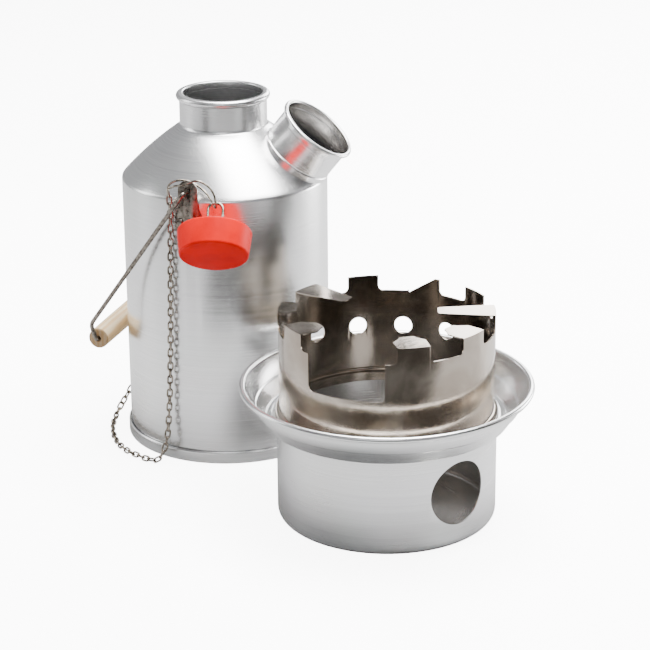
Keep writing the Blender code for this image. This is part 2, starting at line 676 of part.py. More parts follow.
def chain_points():
    """The chain's route: down the body, along the ground round the foot, and up to its lug."""
    hanging = [(-12.7, -71.4, 187.3), (-12.4, -70.9, 180.0), (-12.2, -70.8, 170.0), (-13.0, -71.0, 140.0)]
    hanging += [(-14.2, -71.2, 100.0), (-15.8, -71.4, 60.0), (-17.4, -72.6, 30.0), (-18.6, -75.8, 14.0)]
    lying = [(-22.5, -79.4, 4.2), (-29.5, -79.0, 2.4), (-38.5, -75.5, 2.4), (-49.5, -69.5, 2.4)]
    lying += [(-60.0, -59.5, 2.4), (-68.8, -46.5, 2.4), (-75.8, -31.0, 2.4), (-79.2, -18.0, 3.0)]
    rising = [(-79.6, -9.0, 6.6), (-77.6, -2.0, 12.2), (-75.8, 2.6, 16.6)]
    return [Vector(p) * MM for p in hanging + lying + rising]


def make_chain(finish, frame):
    route = smooth_route(chain_points(), CHAIN_STEP)
    return wire("stopper_chain", route, CHAIN_RADIUS, finish, frame, sides=2)


def make_lug(finish, frame):
    """The lug for the chain's lower end: a riveted foot with an ear standing out from it."""
    facing = about(LUG_HEADING)
    outline = round_rect(LUG_HALF_WIDTH, LUG_LOW_Z, LUG_TOP_Z, LUG_CORNER, 2)
    plate = bracket_plate("chain_lug", outline, LUG_WALL, facing, finish, frame)
    root = BODY_RADIUS + PLATE_GAP + LUG_WALL / 2
    tip = BODY_RADIUS + LUG_EAR_REACH
    half = LUG_EAR_HALF
    ear = [(-root, LUG_EAR_Z - half), (-root, LUG_EAR_Z + half)]
    ear += [(-tip + half, LUG_EAR_Z + half), (-tip, LUG_EAR_Z), (-tip + half, LUG_EAR_Z - half)]
    sideways = facing @ Matrix.Rotation(math.radians(90), 4, "Z")
    half_wall = LUG_EAR_WALL / 2
    boolean(plate, prism("lug_ear", ear, -half_wall, half_wall, sideways, finish, frame), "UNION")
    hole_y = -tip + LUG_HOLE_INSET
    near, far = (facing @ Vector((x, hole_y, LUG_EAR_Z)) for x in (-CUT_PAST, CUT_PAST))
    boolean(plate, rod("lug_hole", near, far, LUG_HOLE_RADIUS, finish, frame, 8), "DIFFERENCE")
    cut_rivet_hole(plate, (0, LUG_RIVET_Z), facing, finish, frame)
    return plate


def make_fire_base(finish):
    """Cup, rounded seat, flared wall and curled rim, spun from one sheet, with an air hole."""
    half = BASE_WALL / 2
    cup = CUP_RADIUS - half
    path = [(0, half)] + arc(cup - CUP_CORNER, half + CUP_CORNER, CUP_CORNER, -90, 0, 2)
    seat_centre = SEAT_Z - half - SEAT_ROUND
    path += arc(cup + SEAT_ROUND, seat_centre, SEAT_ROUND, 180, 90, 2)
    ledge_z = LEDGE_Z + half
    flare_foot = FLARE_FOOT_RADIUS - half
    flare_step = FLARE_STEP_RADIUS - half
    path += [(cup + SEAT_ROUND + SEAT_FLAT, SEAT_Z - half), (cup + SEAT_ROUND + LEDGE_OUT, ledge_z)]
    path += [(flare_foot - FLARE_FOOT_IN, ledge_z), (flare_foot + FLARE_FOOT_OUT, ledge_z + FLARE_FOOT_IN)]
    path += [(flare_step, FLARE_STEP_Z), (flare_step + FLARE_STEP_OUT, FLARE_STEP_Z + FLARE_STEP_UP)]
    curl_centre = RIM_RADIUS - half - RIM_CURL
    path += [(curl_centre - RIM_CURL, RIM_Z - RIM_CURL_FOOT)]
    path += arc(curl_centre, RIM_Z, RIM_CURL, 180, -50, 4)
    base = turned("fire_base", sheet_outline(path, BASE_WALL), finish)
    heading = math.radians(AIR_HOLE_HEADING)
    outward = Vector((math.cos(heading), math.sin(heading), 0))
    level = Vector((0, 0, AIR_HOLE_Z))
    near, far = level + outward * 0.5 * CUP_RADIUS, level + outward * 1.3 * CUP_RADIUS
    boolean(base, rod("air_hole", near, far, AIR_HOLE_RADIUS, finish, None, SMALL_STEPS), "DIFFERENCE")
    return base


def drum_bead_z():
    """The height at which the drum's bead rests on the round edge of the seat."""
    seat_round = SEAT_ROUND + BASE_WALL / 2
    bead_round = DRUM_BEAD + DRUM_WALL / 2
    across = CUP_RADIUS - BASE_WALL / 2 + SEAT_ROUND - (DRUM_RADIUS - DRUM_WALL / 2)
    rise = math.sqrt((seat_round + bead_round + GAP) ** 2 - across**2)
    return SEAT_Z - BASE_WALL / 2 - SEAT_ROUND + rise


def place_of(front_angle):
    """Turns degrees from the front into a frame whose -Y points there."""
    return about(front_angle - 90)


def flap_outline(kind):
    """A folded tab in plan: its root on the drum's wall, its tip narrowed with round corners."""
    reach, straight, tip = FLAPS[kind]
    middle = DRUM_RADIUS - DRUM_WALL / 2
    half = TAB_WIDTH / 2
    spread = math.degrees(math.asin(half / middle))
    root = arc(0, 0, middle, -90 - spread, -90 + spread, 4)
    end = reach - middle
    shoulder = straight - middle
    round_tip = arc(tip - FLAP_CORNER, end - FLAP_CORNER, FLAP_CORNER, 0, 90, 2)
    mirrored = [(-x, y) for x, y in reversed(round_tip)]
    return root + [(half, shoulder)] + round_tip + mirrored + [(-half, shoulder)]


def make_stove_ring(finish):
    """The drum: bead and spigot at its foot, a feed window, round ports, and tabs round its top."""
    middle = DRUM_RADIUS - DRUM_WALL / 2
    bead_z = drum_bead_z()
    path = [(middle, bead_z - DRUM_BEAD - SPIGOT_LENGTH)]
    path += arc(middle, bead_z, DRUM_BEAD, -90, 90, 4) + [(middle, TAB_TOP_Z)]
    drum = turned("stove_ring", sheet_outline(path, DRUM_WALL), finish)
    near, far = -1.2 * DRUM_RADIUS, -0.5 * DRUM_RADIUS
    flat = Matrix.Rotation(math.radians(-90), 4, "X")
    for angle, kind in TABS:
        if kind not in FLAPS:
            continue
        frame = place_of(angle) @ Matrix.Translation((0, 0, TAB_TOP_Z)) @ flat
        flap = prism("tab_flap", flap_outline(kind), 0, DRUM_WALL, frame, finish)
        boolean(drum, flap, "UNION")
    ends = [(angle - tab_half_angle(), angle + tab_half_angle()) for angle, kind in TABS]
    for (_, left), (right, _) in zip(ends, ends[1:] + [(ends[0][0] + 360, 0)]):
        cut_notch(drum, left, right, NOTCH_Z, finish)
    cut_notch(drum, WINDOW_FIRST, WINDOW_LAST, WINDOW_LOW_Z, finish)
    for angle in PORTS:
        frame = place_of(angle)
        start, end = frame @ Vector((0, near, PORT_Z)), frame @ Vector((0, far, PORT_Z))
        boolean(drum, rod("port", start, end, PORT_RADIUS, finish, None, PORT_STEPS), "DIFFERENCE")
    spike = [angle for angle, kind in TABS if kind == "spike"][0]
    cut_spike(drum, spike, near, far, finish)
    return drum


def tab_half_angle():
    return math.degrees(math.asin(TAB_WIDTH / 2 / DRUM_RADIUS))


def cut_notch(drum, first, last, low, finish):
    """Opens the wall between two angles from a level up past the top, with round lower corners."""
    half_angle = math.radians(last - first) / 2
    half = DRUM_RADIUS * math.sin(half_angle)
    corner = NOTCH_CORNER
    outline = arc(-half + corner, low + corner, corner, 180, 270, 3)
    outline += arc(half - corner, low + corner, corner, 270, 360, 3)
    outline += [(half, TAB_TOP_Z + CUT_PAST), (-half, TAB_TOP_Z + CUT_PAST)]
    inside = -DRUM_RADIUS * math.cos(half_angle) + DRUM_WALL + MM
    tool = prism("notch", outline, -1.2 * DRUM_RADIUS, inside, place_of((first + last) / 2), finish)
    boolean(drum, tool, "DIFFERENCE")


def cut_spike(drum, angle, near, far, finish):
    """Trims one upright tab to a slanted point."""
    half = TAB_WIDTH / 2
    outline = [(-half, TAB_TOP_Z + 2 * MM), (half + MM, NOTCH_Z - MM), (half + MM, TAB_TOP_Z + 2 * MM)]
    boolean(drum, prism("spike_cut", outline, near, far, place_of(angle), finish), "DIFFERENCE")


def build():
    clear_scene()
    spun = material("spun aluminium", (0.78, 0.78, 0.77), 1.0, 0.32)
    dark_spun = material("sooted aluminium", (0.30, 0.29, 0.28), 1.0, 0.45)
    stainless = material("stainless sheet", (0.60, 0.57, 0.53), 1.0, 0.2)
    steel = material("plated steel", (0.45, 0.43, 0.40), 1.0, 0.3)
    nickel = material("nickel plate", (0.66, 0.64, 0.60), 1.0, 0.18)
    beech = material("beech", (0.72, 0.50, 0.30), 0.0, 0.6)
    silicone = material("orange silicone", (0.85, 0.06, 0.01), 0.0, 0.5)

    make_fire_base(spun)
    make_stove_ring(stainless)

    bearing = math.radians(KETTLE_BEARING)
    kettle_place = (KETTLE_DISTANCE * math.cos(bearing), KETTLE_DISTANCE * math.sin(bearing), 0)
    kettle = empty("kettle_frame", kettle_place, SPOUT_HEADING)
    make_shell(spun, kettle)
    make_chimney(dark_spun, kettle)
    make_foot(spun, kettle)
    make_neck_bead(spun, kettle)
    make_spout(spun, kettle)
    for name, side in (("front", 1), ("rear", -1)):
        facing = pivot_frame(side)
        make_bracket(f"bail_bracket_{name}", side, steel, kettle)
        for number, across in ((1, -RIVET_SPREAD), (2, RIVET_SPREAD)):
            rivet = f"bracket_rivet_{name}_{number}"
            make_rivet(rivet, (across, RIVET_Z), BRACKET_WALL, facing, steel, kettle)
    pivot = make_bail(steel, kettle)
    make_grip(beech, pivot)

    hang = empty("stopper_pivot", (0, 0, 0), 0, kettle)
    hang.matrix_local = stopper_frame()
    make_stopper(silicone, hang)
    make_staple(nickel, hang)
    make_ring(nickel, kettle)
    make_chain(nickel, kettle)
    make_lug(steel, kettle)
    make_rivet("lug_rivet", (0, LUG_RIVET_Z), LUG_WALL, about(LUG_HEADING), steel, kettle)


build()
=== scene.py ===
import math

import bmesh
import bpy
from mathutils import Matrix, Vector


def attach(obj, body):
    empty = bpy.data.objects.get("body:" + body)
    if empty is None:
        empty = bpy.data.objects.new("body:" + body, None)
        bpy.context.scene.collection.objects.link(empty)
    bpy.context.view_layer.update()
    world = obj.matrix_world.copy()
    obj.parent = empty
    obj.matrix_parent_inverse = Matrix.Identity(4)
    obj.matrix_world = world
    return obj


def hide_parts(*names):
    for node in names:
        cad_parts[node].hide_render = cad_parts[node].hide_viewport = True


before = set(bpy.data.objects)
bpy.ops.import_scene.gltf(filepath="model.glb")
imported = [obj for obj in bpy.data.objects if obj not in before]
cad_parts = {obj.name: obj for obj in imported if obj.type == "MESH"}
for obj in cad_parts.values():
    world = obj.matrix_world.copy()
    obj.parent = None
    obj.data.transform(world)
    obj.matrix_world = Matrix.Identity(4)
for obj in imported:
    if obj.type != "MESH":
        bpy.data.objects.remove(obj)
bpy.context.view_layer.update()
mm = 0.001
print("frame loaded")


# ---- small helpers for numbers and nodes

def linear(hexColour):
    parts = [int(hexColour[i:i + 2], 16) / 255 for i in (1, 3, 5)]
    return (*[p / 12.92 if p <= 0.04045 else ((p + 0.055) / 1.055) ** 2.4 for p in parts], 1.0)


def addNode(tree, kind, links=None, **settings):
    # links holds values or other nodes' sockets, by input name or number
    made = tree.nodes.new(kind)
    for name, value in settings.items():
        setattr(made, name, value)
    for name, value in (links or {}).items():
        if isinstance(value, bpy.types.NodeSocket):
            tree.links.new(value, made.inputs[name])
        else:
            made.inputs[name].default_value = value
    return made


def newMaterial(name, **shaderValues):
    made = bpy.data.materials.new(name)
    made.use_nodes = True
    tree = made.node_tree
    shader = tree.nodes["Principled BSDF"]
    for socket, value in shaderValues.items():
        shader.inputs[socket.replace("_", " ")].default_value = value
    return made, tree, shader


def feed(tree, shader, **sockets):
    # joins outputs to the shader's inputs, with _ for a space in a name
    for name, socket in sockets.items():
        tree.links.new(socket, shader.inputs[name.replace("_", " ")])


def mathNode(tree, operation, *values):
    return addNode(tree, "ShaderNodeMath", dict(enumerate(values)), operation=operation).outputs[0]


def mixNode(tree, share, first, second, **settings):
    links = {0: share, 6: first, 7: second}
    return addNode(tree, "ShaderNodeMix", links, data_type="RGBA", **settings).outputs[2]


def noiseNode(tree, vector, scale, detail, **more):
    links = {"Vector": vector, "Scale": scale, "Detail": detail, **more}
    return addNode(tree, "ShaderNodeTexNoise", links).outputs


def bumpNode(tree, height, strength, distance, under=None):
    links = {"Strength": strength, "Distance": distance, "Height": height}
    if under is not None:
        links["Normal"] = under
    return addNode(tree, "ShaderNodeBump", links).outputs[0]


def spread(tree, value, low, high, start=0.3, end=0.7):
    # stretches the middle part of a pattern over a range
    return addNode(tree, "ShaderNodeMapRange", {0: value, 1: start, 2: end, 3: low, 4: high}).outputs[0]


def twoTone(tree, value, *stops):
    # each stop is a place on the ramp and its colour
    made = addNode(tree, "ShaderNodeValToRGB", {0: value})
    for element, (place, colour) in zip(made.color_ramp.elements, stops):
        element.position = place
        element.color = colour
    return made.outputs["Color"]


def objectPlace(tree):
    return addNode(tree, "ShaderNodeTexCoord").outputs["Object"]


def fromAxis(tree):
    # the parts of a place in the piece's own space, and its distance from the Z axis
    parts = addNode(tree, "ShaderNodeSeparateXYZ", {0: objectPlace(tree)}).outputs
    flat = addNode(tree, "ShaderNodeCombineXYZ", {0: parts[0], 1: parts[1]})
    radius = addNode(tree, "ShaderNodeVectorMath", {0: flat.outputs[0]}, operation="LENGTH")
    return parts, radius.outputs["Value"]


def turningVector(tree, scale, roundScale):
    # coordinates of a turned surface: radius and height matter, the angle hardly does
    parts, radius = fromAxis(tree)
    x = mathNode(tree, "MULTIPLY", radius, scale)
    y = mathNode(tree, "MULTIPLY", parts[2], scale)
    z = mathNode(tree, "MULTIPLY", mathNode(tree, "ARCTAN2", parts[1], parts[0]), roundScale)
    return addNode(tree, "ShaderNodeCombineXYZ", {0: x, 1: y, 2: z}).outputs[0]


# ---- materials

aluminium = {
    "bright": "#EDEDED",
    "dull": "#E0E0E0",
    # painted shade: the greyer colour painted on the insides of the cup and the spout
    "inside": "#BAB8B6",
    "roughness": 0.24,
    "anisotropic": 0.55,
    "lineMm": 0.5,  # the real lines are 0.2 mm apart, too fine to see at this size
    "lineTurn": 0.35,
    "lineDepth": 0.035,
    "cloudMm": 35.7,
    "clouding": 0.12,
    "patches": 0.10,
    "speckMm": 1.11,
    "speckDepth": 0.02,
}


def spunAluminium(name, tint=1.0, roughness=aluminium["roughness"], shadeWithin=0.0, shadeBelow=1.0):
    # sheet aluminium spun over a former: satin, with fine rings that stretch highlights up and down.
    # Nearer the axis than one radius and under one height, on the inside of its hollow, the colour is
    # painted greyer and duller: painted shade
    made, tree, shader = newMaterial(name, Metallic=1.0, Anisotropic=aluminium["anisotropic"])
    lines = turningVector(tree, 1 / (aluminium["lineMm"] * mm), aluminium["lineTurn"])
    rings = noiseNode(tree, lines, 1.0, 3.0, Roughness=0.65)["Fac"]
    clouds = noiseNode(tree, objectPlace(tree), 1 / (aluminium["cloudMm"] * mm), 4.0)
    specks = noiseNode(tree, objectPlace(tree), 1 / (aluminium["speckMm"] * mm), 2.0)["Fac"]
    bright, dull = [
        tuple(c * tint for c in linear(aluminium[key])[:3]) + (1,) for key in ("bright", "dull")
    ]
    colour = twoTone(tree, rings, (0.36, dull), (0.62, bright))
    stained = mixNode(tree, aluminium["clouding"], colour, clouds["Color"], blend_type="SOFT_LIGHT")
    parts, radius = fromAxis(tree)
    # painted shade: this masks the hollow's inner face, where the colour turns greyer
    near = mathNode(tree, "LESS_THAN", radius, shadeWithin)
    low = mathNode(tree, "LESS_THAN", parts[2], shadeBelow)
    inside = mathNode(tree, "MULTIPLY", near, low)
    rough = spread(tree, rings, roughness - 0.02, roughness + 0.03)
    patchy = mathNode(tree, "MULTIPLY_ADD", clouds["Fac"], aluminium["patches"], rough)
    fine = bumpNode(tree, specks, aluminium["speckDepth"], 0.2 * mm)
    feed(
        tree, shader,
        Base_Color=mixNode(tree, inside, stained, linear(aluminium["inside"])),
        Roughness=mathNode(tree, "SUBTRACT", patchy, aluminium["patches"] / 2),
        Normal=bumpNode(tree, rings, aluminium["lineDepth"], 0.4 * mm, fine),
        Tangent=addNode(tree, "ShaderNodeTangent", direction_type="RADIAL", axis="Z").outputs[0],
    )
    return made


stainless = {
    "light": "#B3AA9F",
    "dark": "#958A7E",
    "roughness": 0.15,
    "grainMm": 0.5,
    "grainTurn": 2.0,
    "grainDepth": 0.06,
    "smearMm": 27.8,
    "waveDepth": 0.10,
}


def stainlessSheet(name):
    # cold rolled stainless, cut and rolled into a drum: near mirror, warm, with faint rolling grain
    made, tree, shader = newMaterial(name, Metallic=1.0)
    rolled = turningVector(tree, 1 / (stainless["grainMm"] * mm), stainless["grainTurn"])
    grain = noiseNode(tree, rolled, 1.0, 3.0)["Fac"]
    smears = noiseNode(tree, objectPlace(tree), 1 / (stainless["smearMm"] * mm), 5.0, Distortion=0.6)["Fac"]
    waves = bumpNode(tree, smears, stainless["waveDepth"], 1.5 * mm)
    feed(
        tree, shader,
        Base_Color=twoTone(
            tree, smears, (0.32, linear(stainless["dark"])), (0.68, linear(stainless["light"]))
        ),
        Roughness=spread(tree, smears, stainless["roughness"] - 0.04, stainless["roughness"] + 0.08),
        Normal=bumpNode(tree, grain, stainless["grainDepth"], 0.2 * mm, waves),
    )
    return made


plating = {
    "zinc": {"light": "#8E877E", "dark": "#575049", "roughness": 0.26},
    "nickel": {"light": "#AFA699", "dark": "#5E554B", "roughness": 0.15},
    "spotMm": 2.38,
    "spotDepth": 0.10,
}


def platedWire(name, kind):
    # drawn steel with a thin plated coat: bright zinc is greyer and duller, nickel warmer and sharper
    coat = plating[kind]
    made, tree, shader = newMaterial(name, Metallic=1.0)
    spots = noiseNode(tree, objectPlace(tree), 1 / (plating["spotMm"] * mm), 4.0, Roughness=0.6)["Fac"]
    feed(
        tree, shader,
        Base_Color=twoTone(tree, spots, (0.35, linear(coat["dark"])), (0.62, linear(coat["light"]))),
        Roughness=spread(tree, spots, coat["roughness"] - 0.05, coat["roughness"] + 0.12),
        Normal=bumpNode(tree, spots, plating["spotDepth"], 0.2 * mm),
    )
    return made


beech = {
    "pale": "#F7DFB6",
    "tan": "#E6C08A",
    "ray": "#C79A66",
    "end": "#8A6A48",
    "ringMm": 1.7,
    "rayMm": 0.7,
    "rayDepth": 0.25,
    "stretch": 0.10,
    "endZ": 46.9 * mm,
    "endShare": 0.75,
}


def turnedBeech(name):
    # a turned dowel: straight grain along its length, short dark ray flecks, open end grain
    made, tree, shader = newMaterial(name, Roughness=0.52, Specular_IOR_Level=0.35)
    place = objectPlace(tree)
    along = (1.0, 1.0, beech["stretch"])
    stretched = addNode(tree, "ShaderNodeVectorMath", {0: place, 1: along}, operation="MULTIPLY").outputs[0]
    # one wave of this pattern is 2 pi units long
    links = {"Vector": stretched, "Scale": 1 / (beech["ringMm"] * mm) / 6.28}
    links |= {"Distortion": 3.0, "Detail": 3.0, "Detail Scale": 2.0}
    bands = addNode(tree, "ShaderNodeTexWave", links, bands_direction="X").outputs["Fac"]
    flecks = noiseNode(tree, stretched, 1 / (beech["rayMm"] * mm), 3.0)["Fac"]
    wood = twoTone(tree, bands, (0.15, linear(beech["tan"])), (0.75, linear(beech["pale"])))
    mixed = mixNode(tree, spread(tree, flecks, 0.0, 0.55, 0.56, 0.72), wood, linear(beech["ray"]))
    # the sawn ends drink the light: darker than the sides
    height = addNode(tree, "ShaderNodeSeparateXYZ", {0: place}).outputs[2]
    end = mathNode(tree, "GREATER_THAN", mathNode(tree, "ABSOLUTE", height), beech["endZ"])
    share = mathNode(tree, "MULTIPLY", end, beech["endShare"])
    feed(
        tree, shader,
        Base_Color=mixNode(tree, share, mixed, linear(beech["end"])),
        Normal=bumpNode(tree, flecks, beech["rayDepth"], 0.3 * mm),
    )
    return made


silicone = {"colour": "#DE0400", "shade": "#CE0000", "grainMm": 0.35, "grainDepth": 0.08, "cloudMm": 16.7}


def mouldedSilicone(name):
    # moulded silicone rubber: a deep, even colour with a faint soft sheen and the mould's fine texture
    made, tree, shader = newMaterial(name, Roughness=0.42, Specular_IOR_Level=0.05)
    grain = noiseNode(tree, objectPlace(tree), 1 / (silicone["grainMm"] * mm), 2.0)["Fac"]
    clouds = noiseNode(tree, objectPlace(tree), 1 / (silicone["cloudMm"] * mm), 3.0)["Fac"]
    feed(
        tree, shader,
        Base_Color=twoTone(
            tree, clouds, (0.35, linear(silicone["shade"])), (0.6, linear(silicone["colour"]))
        ),
        Roughness=spread(tree, clouds, 0.36, 0.50),
        Normal=bumpNode(tree, grain, silicone["grainDepth"], 0.2 * mm),
    )
    return made


kettleSkin = spunAluminium("spun aluminium")
# the cup and the spout get painted shade on their inner faces, up to the radius and height given here
baseSkin = spunAluminium("spun aluminium, cup", tint=0.97, shadeWithin=68.3 * mm, shadeBelow=64 * mm)
spoutSkin = spunAluminium("spun aluminium, spout", shadeWithin=24.2 * mm)
# painted shade: the flue gets a darker copy of the spun aluminium, for the chimney deep inside the neck
flueShadeSkin = spunAluminium("spun aluminium, flue", tint=0.62, roughness=0.38)
drumSkin = stainlessSheet("stainless sheet")
zincSkin = platedWire("bright zinc on steel", "zinc")
nickelSkin = platedWire("nickel on steel", "nickel")
beechSkin = turnedBeech("turned beech")
siliconeSkin = mouldedSilicone("moulded silicone")
print("materials made")


# ---- mesh helpers

def arcPoints(x, z, radius, start, end, steps):
    turns = [math.radians(start + (end - start) * i / steps) for i in range(steps + 1)]
    return [(x + radius * math.cos(t), z + radius * math.sin(t)) for t in turns]


def sheetOutline(path, wall):
    left, right = [], []
    for i, point in enumerate(path):
        here = Vector(point)
        before = (here - Vector(path[max(i - 1, 0)])).normalized()
        after = (Vector(path[min(i + 1, len(path) - 1)]) - here).normalized()
        along = (before + after).normalized()
        oneWay = after if before.length == 0 else before
        normal = Vector((-along.y, along.x))
        reach = wall / 2 / max(normal.dot(Vector((-oneWay.y, oneWay.x))), 0.3)
        left.append(tuple(here + normal * reach))
        right.append(tuple(here - normal * reach))
    return left + right[::-1]


def turnedMesh(outline, steps=160):
    bm = bmesh.new()
    rings = []
    for radius, height in outline:
        if radius < 1e-7:
            rings.append([bm.verts.new((0, 0, height))] * steps)
            continue
        turns = [math.tau * i / steps for i in range(steps)]
        rings.append([bm.verts.new((radius * math.cos(t), radius * math.sin(t), height)) for t in turns])
    for ring, other in zip(rings, rings[1:] + rings[:1]):
        for j in range(steps):
            k = (j + 1) % steps
            corners = [ring[j], ring[k], other[k], other[j]]
            corners = [v for n, v in enumerate(corners) if v not in corners[:n]]
            if len(corners) > 2:
                bm.faces.new(corners)
    return bm


def prismMesh(outline, near, far, place=Matrix.Identity(4)):
    bm = bmesh.new()
    ends = [[bm.verts.new(place @ Vector((x, y, z))) for x, z in outline] for y in (near, far)]
    bm.faces.new(ends[0])
    bm.faces.new(ends[1][::-1])
    for i in range(len(outline)):
        j = (i + 1) % len(outline)
        bm.faces.new((ends[0][i], ends[1][i], ends[1][j], ends[0][j]))
    return bm


def rodMesh(start, end, radius, steps=48):
    start, end = Vector(start), Vector(end)
    turn = (end - start).to_track_quat("Z", "Y").to_matrix().to_4x4()
    length = (end - start).length
    bm = turnedMesh([(0, 0), (radius, 0), (radius, length), (0, length)], steps)
    bm.transform(Matrix.Translation(start) @ turn)
    return bm


def newPiece(name, bm, skin, place=Matrix.Identity(4)):
    bmesh.ops.recalc_face_normals(bm, faces=bm.faces)
    mesh = bpy.data.meshes.new(name)
    bm.to_mesh(mesh)
    bm.free()
    piece = bpy.data.objects.new(name, mesh)
    bpy.context.scene.collection.objects.link(piece)
    piece.matrix_world = place
    if skin:
        mesh.materials.append(skin)
    return piece


def carve(piece, *cuts):
    # each cut is an operation and the mesh that does it, in the piece's own space
    tools = []
    for operation, bm in cuts:
        tool = newPiece("tool", bm, None, piece.matrix_world)
        change = piece.modifiers.new(operation, "BOOLEAN")
        change.operation = operation
        change.solver = "EXACT"
        change.object = tool
        tools.append(tool)
    settle(piece)
    for tool in tools:
        bpy.data.objects.remove(tool)


def settle(piece):
    # applies the modifiers
    bpy.context.view_layer.update()
    graph = bpy.context.evaluated_depsgraph_get()
    mesh = bpy.data.meshes.new_from_object(piece.evaluated_get(graph), depsgraph=graph)
    skin = piece.data.materials[0] if piece.data.materials else None
    piece.modifiers.clear()
    piece.data = mesh
    mesh.materials.clear()
    if skin:
        mesh.materials.append(skin)


def soften(piece, width, segments=2, angle=50):
    # rounds the cut edges, so that they catch the light
    edge = piece.modifiers.new("edge", "BEVEL")
    edge.width = width
    edge.segments = segments
    edge.limit_method = "ANGLE"
    edge.angle_limit = math.radians(angle)
    edge.use_clamp_overlap = True
    settle(piece)


def fit(piece, body, nodes, smoothAngle=38):
    # smooths the piece's shading, ties it to its body and hides the CAD nodes that it stands for
    piece.data.shade_smooth()
    piece.data.set_sharp_from_angle(angle=math.radians(smoothAngle))
    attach(piece, body)
    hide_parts(*nodes)
    return piece


def smoothRoute(points, step, cyclic=False):
    # a smooth curve through the points (Catmull-Rom), with new points at even steps along it
    points = [Vector(p) for p in points]
    count = len(points)
    dense = []
    for i in range(count if cyclic else count - 1):
        picks = [(i + k) % count if cyclic else min(max(i + k, 0), count - 1) for k in (-1, 0, 1, 2)]
        a, b, c, d = [points[n] for n in picks]
        for n in range(16):
            t = n / 16
            square = (2 * a - 5 * b + 4 * c - d) * t**2
            cube = (3 * b - a - 3 * c + d) * t**3
            dense.append(0.5 * (2 * b + (c - a) * t + square + cube))
    dense.append(points[0] if cyclic else points[-1])
    lengths = [(q - p).length for p, q in zip(dense, dense[1:])]
    count = max(2, round(sum(lengths) / step))
    wanted = [sum(lengths) * i / count for i in range(count if cyclic else count + 1)]
    route, walked, i = [], 0.0, 0
    for target in wanted:
        while i < len(lengths) - 1 and walked + lengths[i] < target:
            walked += lengths[i]
            i += 1
        route.append(dense[i].lerp(dense[i + 1], min(1, (target - walked) / max(lengths[i], 1e-9))))
    return route


def wirePiece(name, points, radius, skin, place, cyclic=False, radii=None, sides=16):
    # a round wire with flat ends, as a tube mesh
    bm = bmesh.new()
    count = len(points)
    rings = []
    side = None
    for i, point in enumerate(points):
        ahead = points[(i + 1) % count if cyclic else min(i + 1, count - 1)]
        behind = points[(i - 1) % count if cyclic else max(i - 1, 0)]
        along = (ahead - behind).normalized()
        side = along.orthogonal() if side is None else side - along * side.dot(along)
        side.normalize()
        other = along.cross(side)
        r = radius * (radii[i] if radii else 1)
        ring = []
        for j in range(sides):
            t = math.tau * j / sides
            ring.append(bm.verts.new(point + (side * math.cos(t) + other * math.sin(t)) * r))
        rings.append(ring)
    twist = 0
    if cyclic:
        # joins the last ring to the first one where the turn fits best
        twist = min(range(sides), key=lambda k: (rings[-1][0].co - rings[0][k].co).length)
    for i in range(count if cyclic else count - 1):
        here, there = rings[i], rings[(i + 1) % count]
        shift = twist if cyclic and i == count - 1 else 0
        for j in range(sides):
            k = (j + 1) % sides
            bm.faces.new((here[j], here[k], there[(k + shift) % sides], there[(j + shift) % sides]))
    if not cyclic:
        bm.faces.new(rings[0][::-1])
        bm.faces.new(rings[-1])
    return newPiece(name, bm, skin, place)


def bend(before, corner, after, cut, steps=10):
    # the points of a rounded corner that starts and ends `cut` from it
    first = corner + (before - corner).normalized() * cut
    last = corner + (after - corner).normalized() * cut
    shares = [i / steps for i in range(steps + 1)]
    return [first.lerp(corner, t).lerp(corner.lerp(last, t), t) for t in shares]


def facing(heading):
    # turns what is built towards -Y to face a heading, in degrees from +X
    return Matrix.Rotation(math.radians(heading + 90), 4, "Z")


# ---- camera and studio

camera = {
    "place": (-0.0381, -1.2784, 0.597),
    "down": 20.25,
    "roll": -0.5,
    "lens": 122.2,
    "sensor": 36,
    "nearest": 0.05,
}
view = bpy.data.objects.new("camera", bpy.data.cameras.new("camera"))
view.data.lens = camera["lens"]
view.data.sensor_width = camera["sensor"]
view.data.clip_start = camera["nearest"]
view.location = camera["place"]
leaning = Matrix.Rotation(math.radians(90 - camera["down"]), 4, "X")
view.rotation_euler = (leaning @ Matrix.Rotation(math.radians(camera["roll"]), 4, "Z")).to_euler()
bpy.context.scene.collection.objects.link(view)
bpy.context.scene.camera = view

studio = {
    "floor": "#F4F4F4",
    "bounce": "#B4B4B4",  # the floor as the metal sees it, so that walls don't wash out
    "glow": 9.0,
    "sky": "#F4F5F8",
    "skyStrength": 0.5,
    "dark": "#2A2826",
    "halfFloor": 3.0,
    "fibreMm": 3.33,
    "lit": (-0.04, 0.06, 0.10),  # what the lights are aimed at
}
lights = [
    # name, place, size, power
    ("overhead", (0.14, 0.20, 1.45), (1.3, 0.9), 78),
    ("left window", (-1.40, 0.30, 0.55), (0.5, 1.0), 6),
    ("right window", (0.75, 0.52, 0.16), (0.4, 0.3), 6),
    ("back panel", (0.52, 1.50, 0.70), (0.88, 0.60), 20),
    ("front fill", (-0.20, -1.60, 1.10), (0.9, 0.6), 4),
]
cards = [
    # dark boards that only the metal reflects: name, place, size, what each one faces
    ("board right", (0.53, -0.16, 0.28), (0.36, 0.56), (-0.10, 0.14, 0.28)),
    ("board left", (-0.60, -0.36, 0.30), (0.20, 0.60), (-0.10, 0.14, 0.30)),
    ("board flat", (0.02, -0.44, 0.003), (0.60, 0.42), (0.02, -0.44, 1.0)),
]


def aimAt(thing, target):
    thing.rotation_euler = (Vector(target) - thing.location).to_track_quat("-Z", "Y").to_euler()


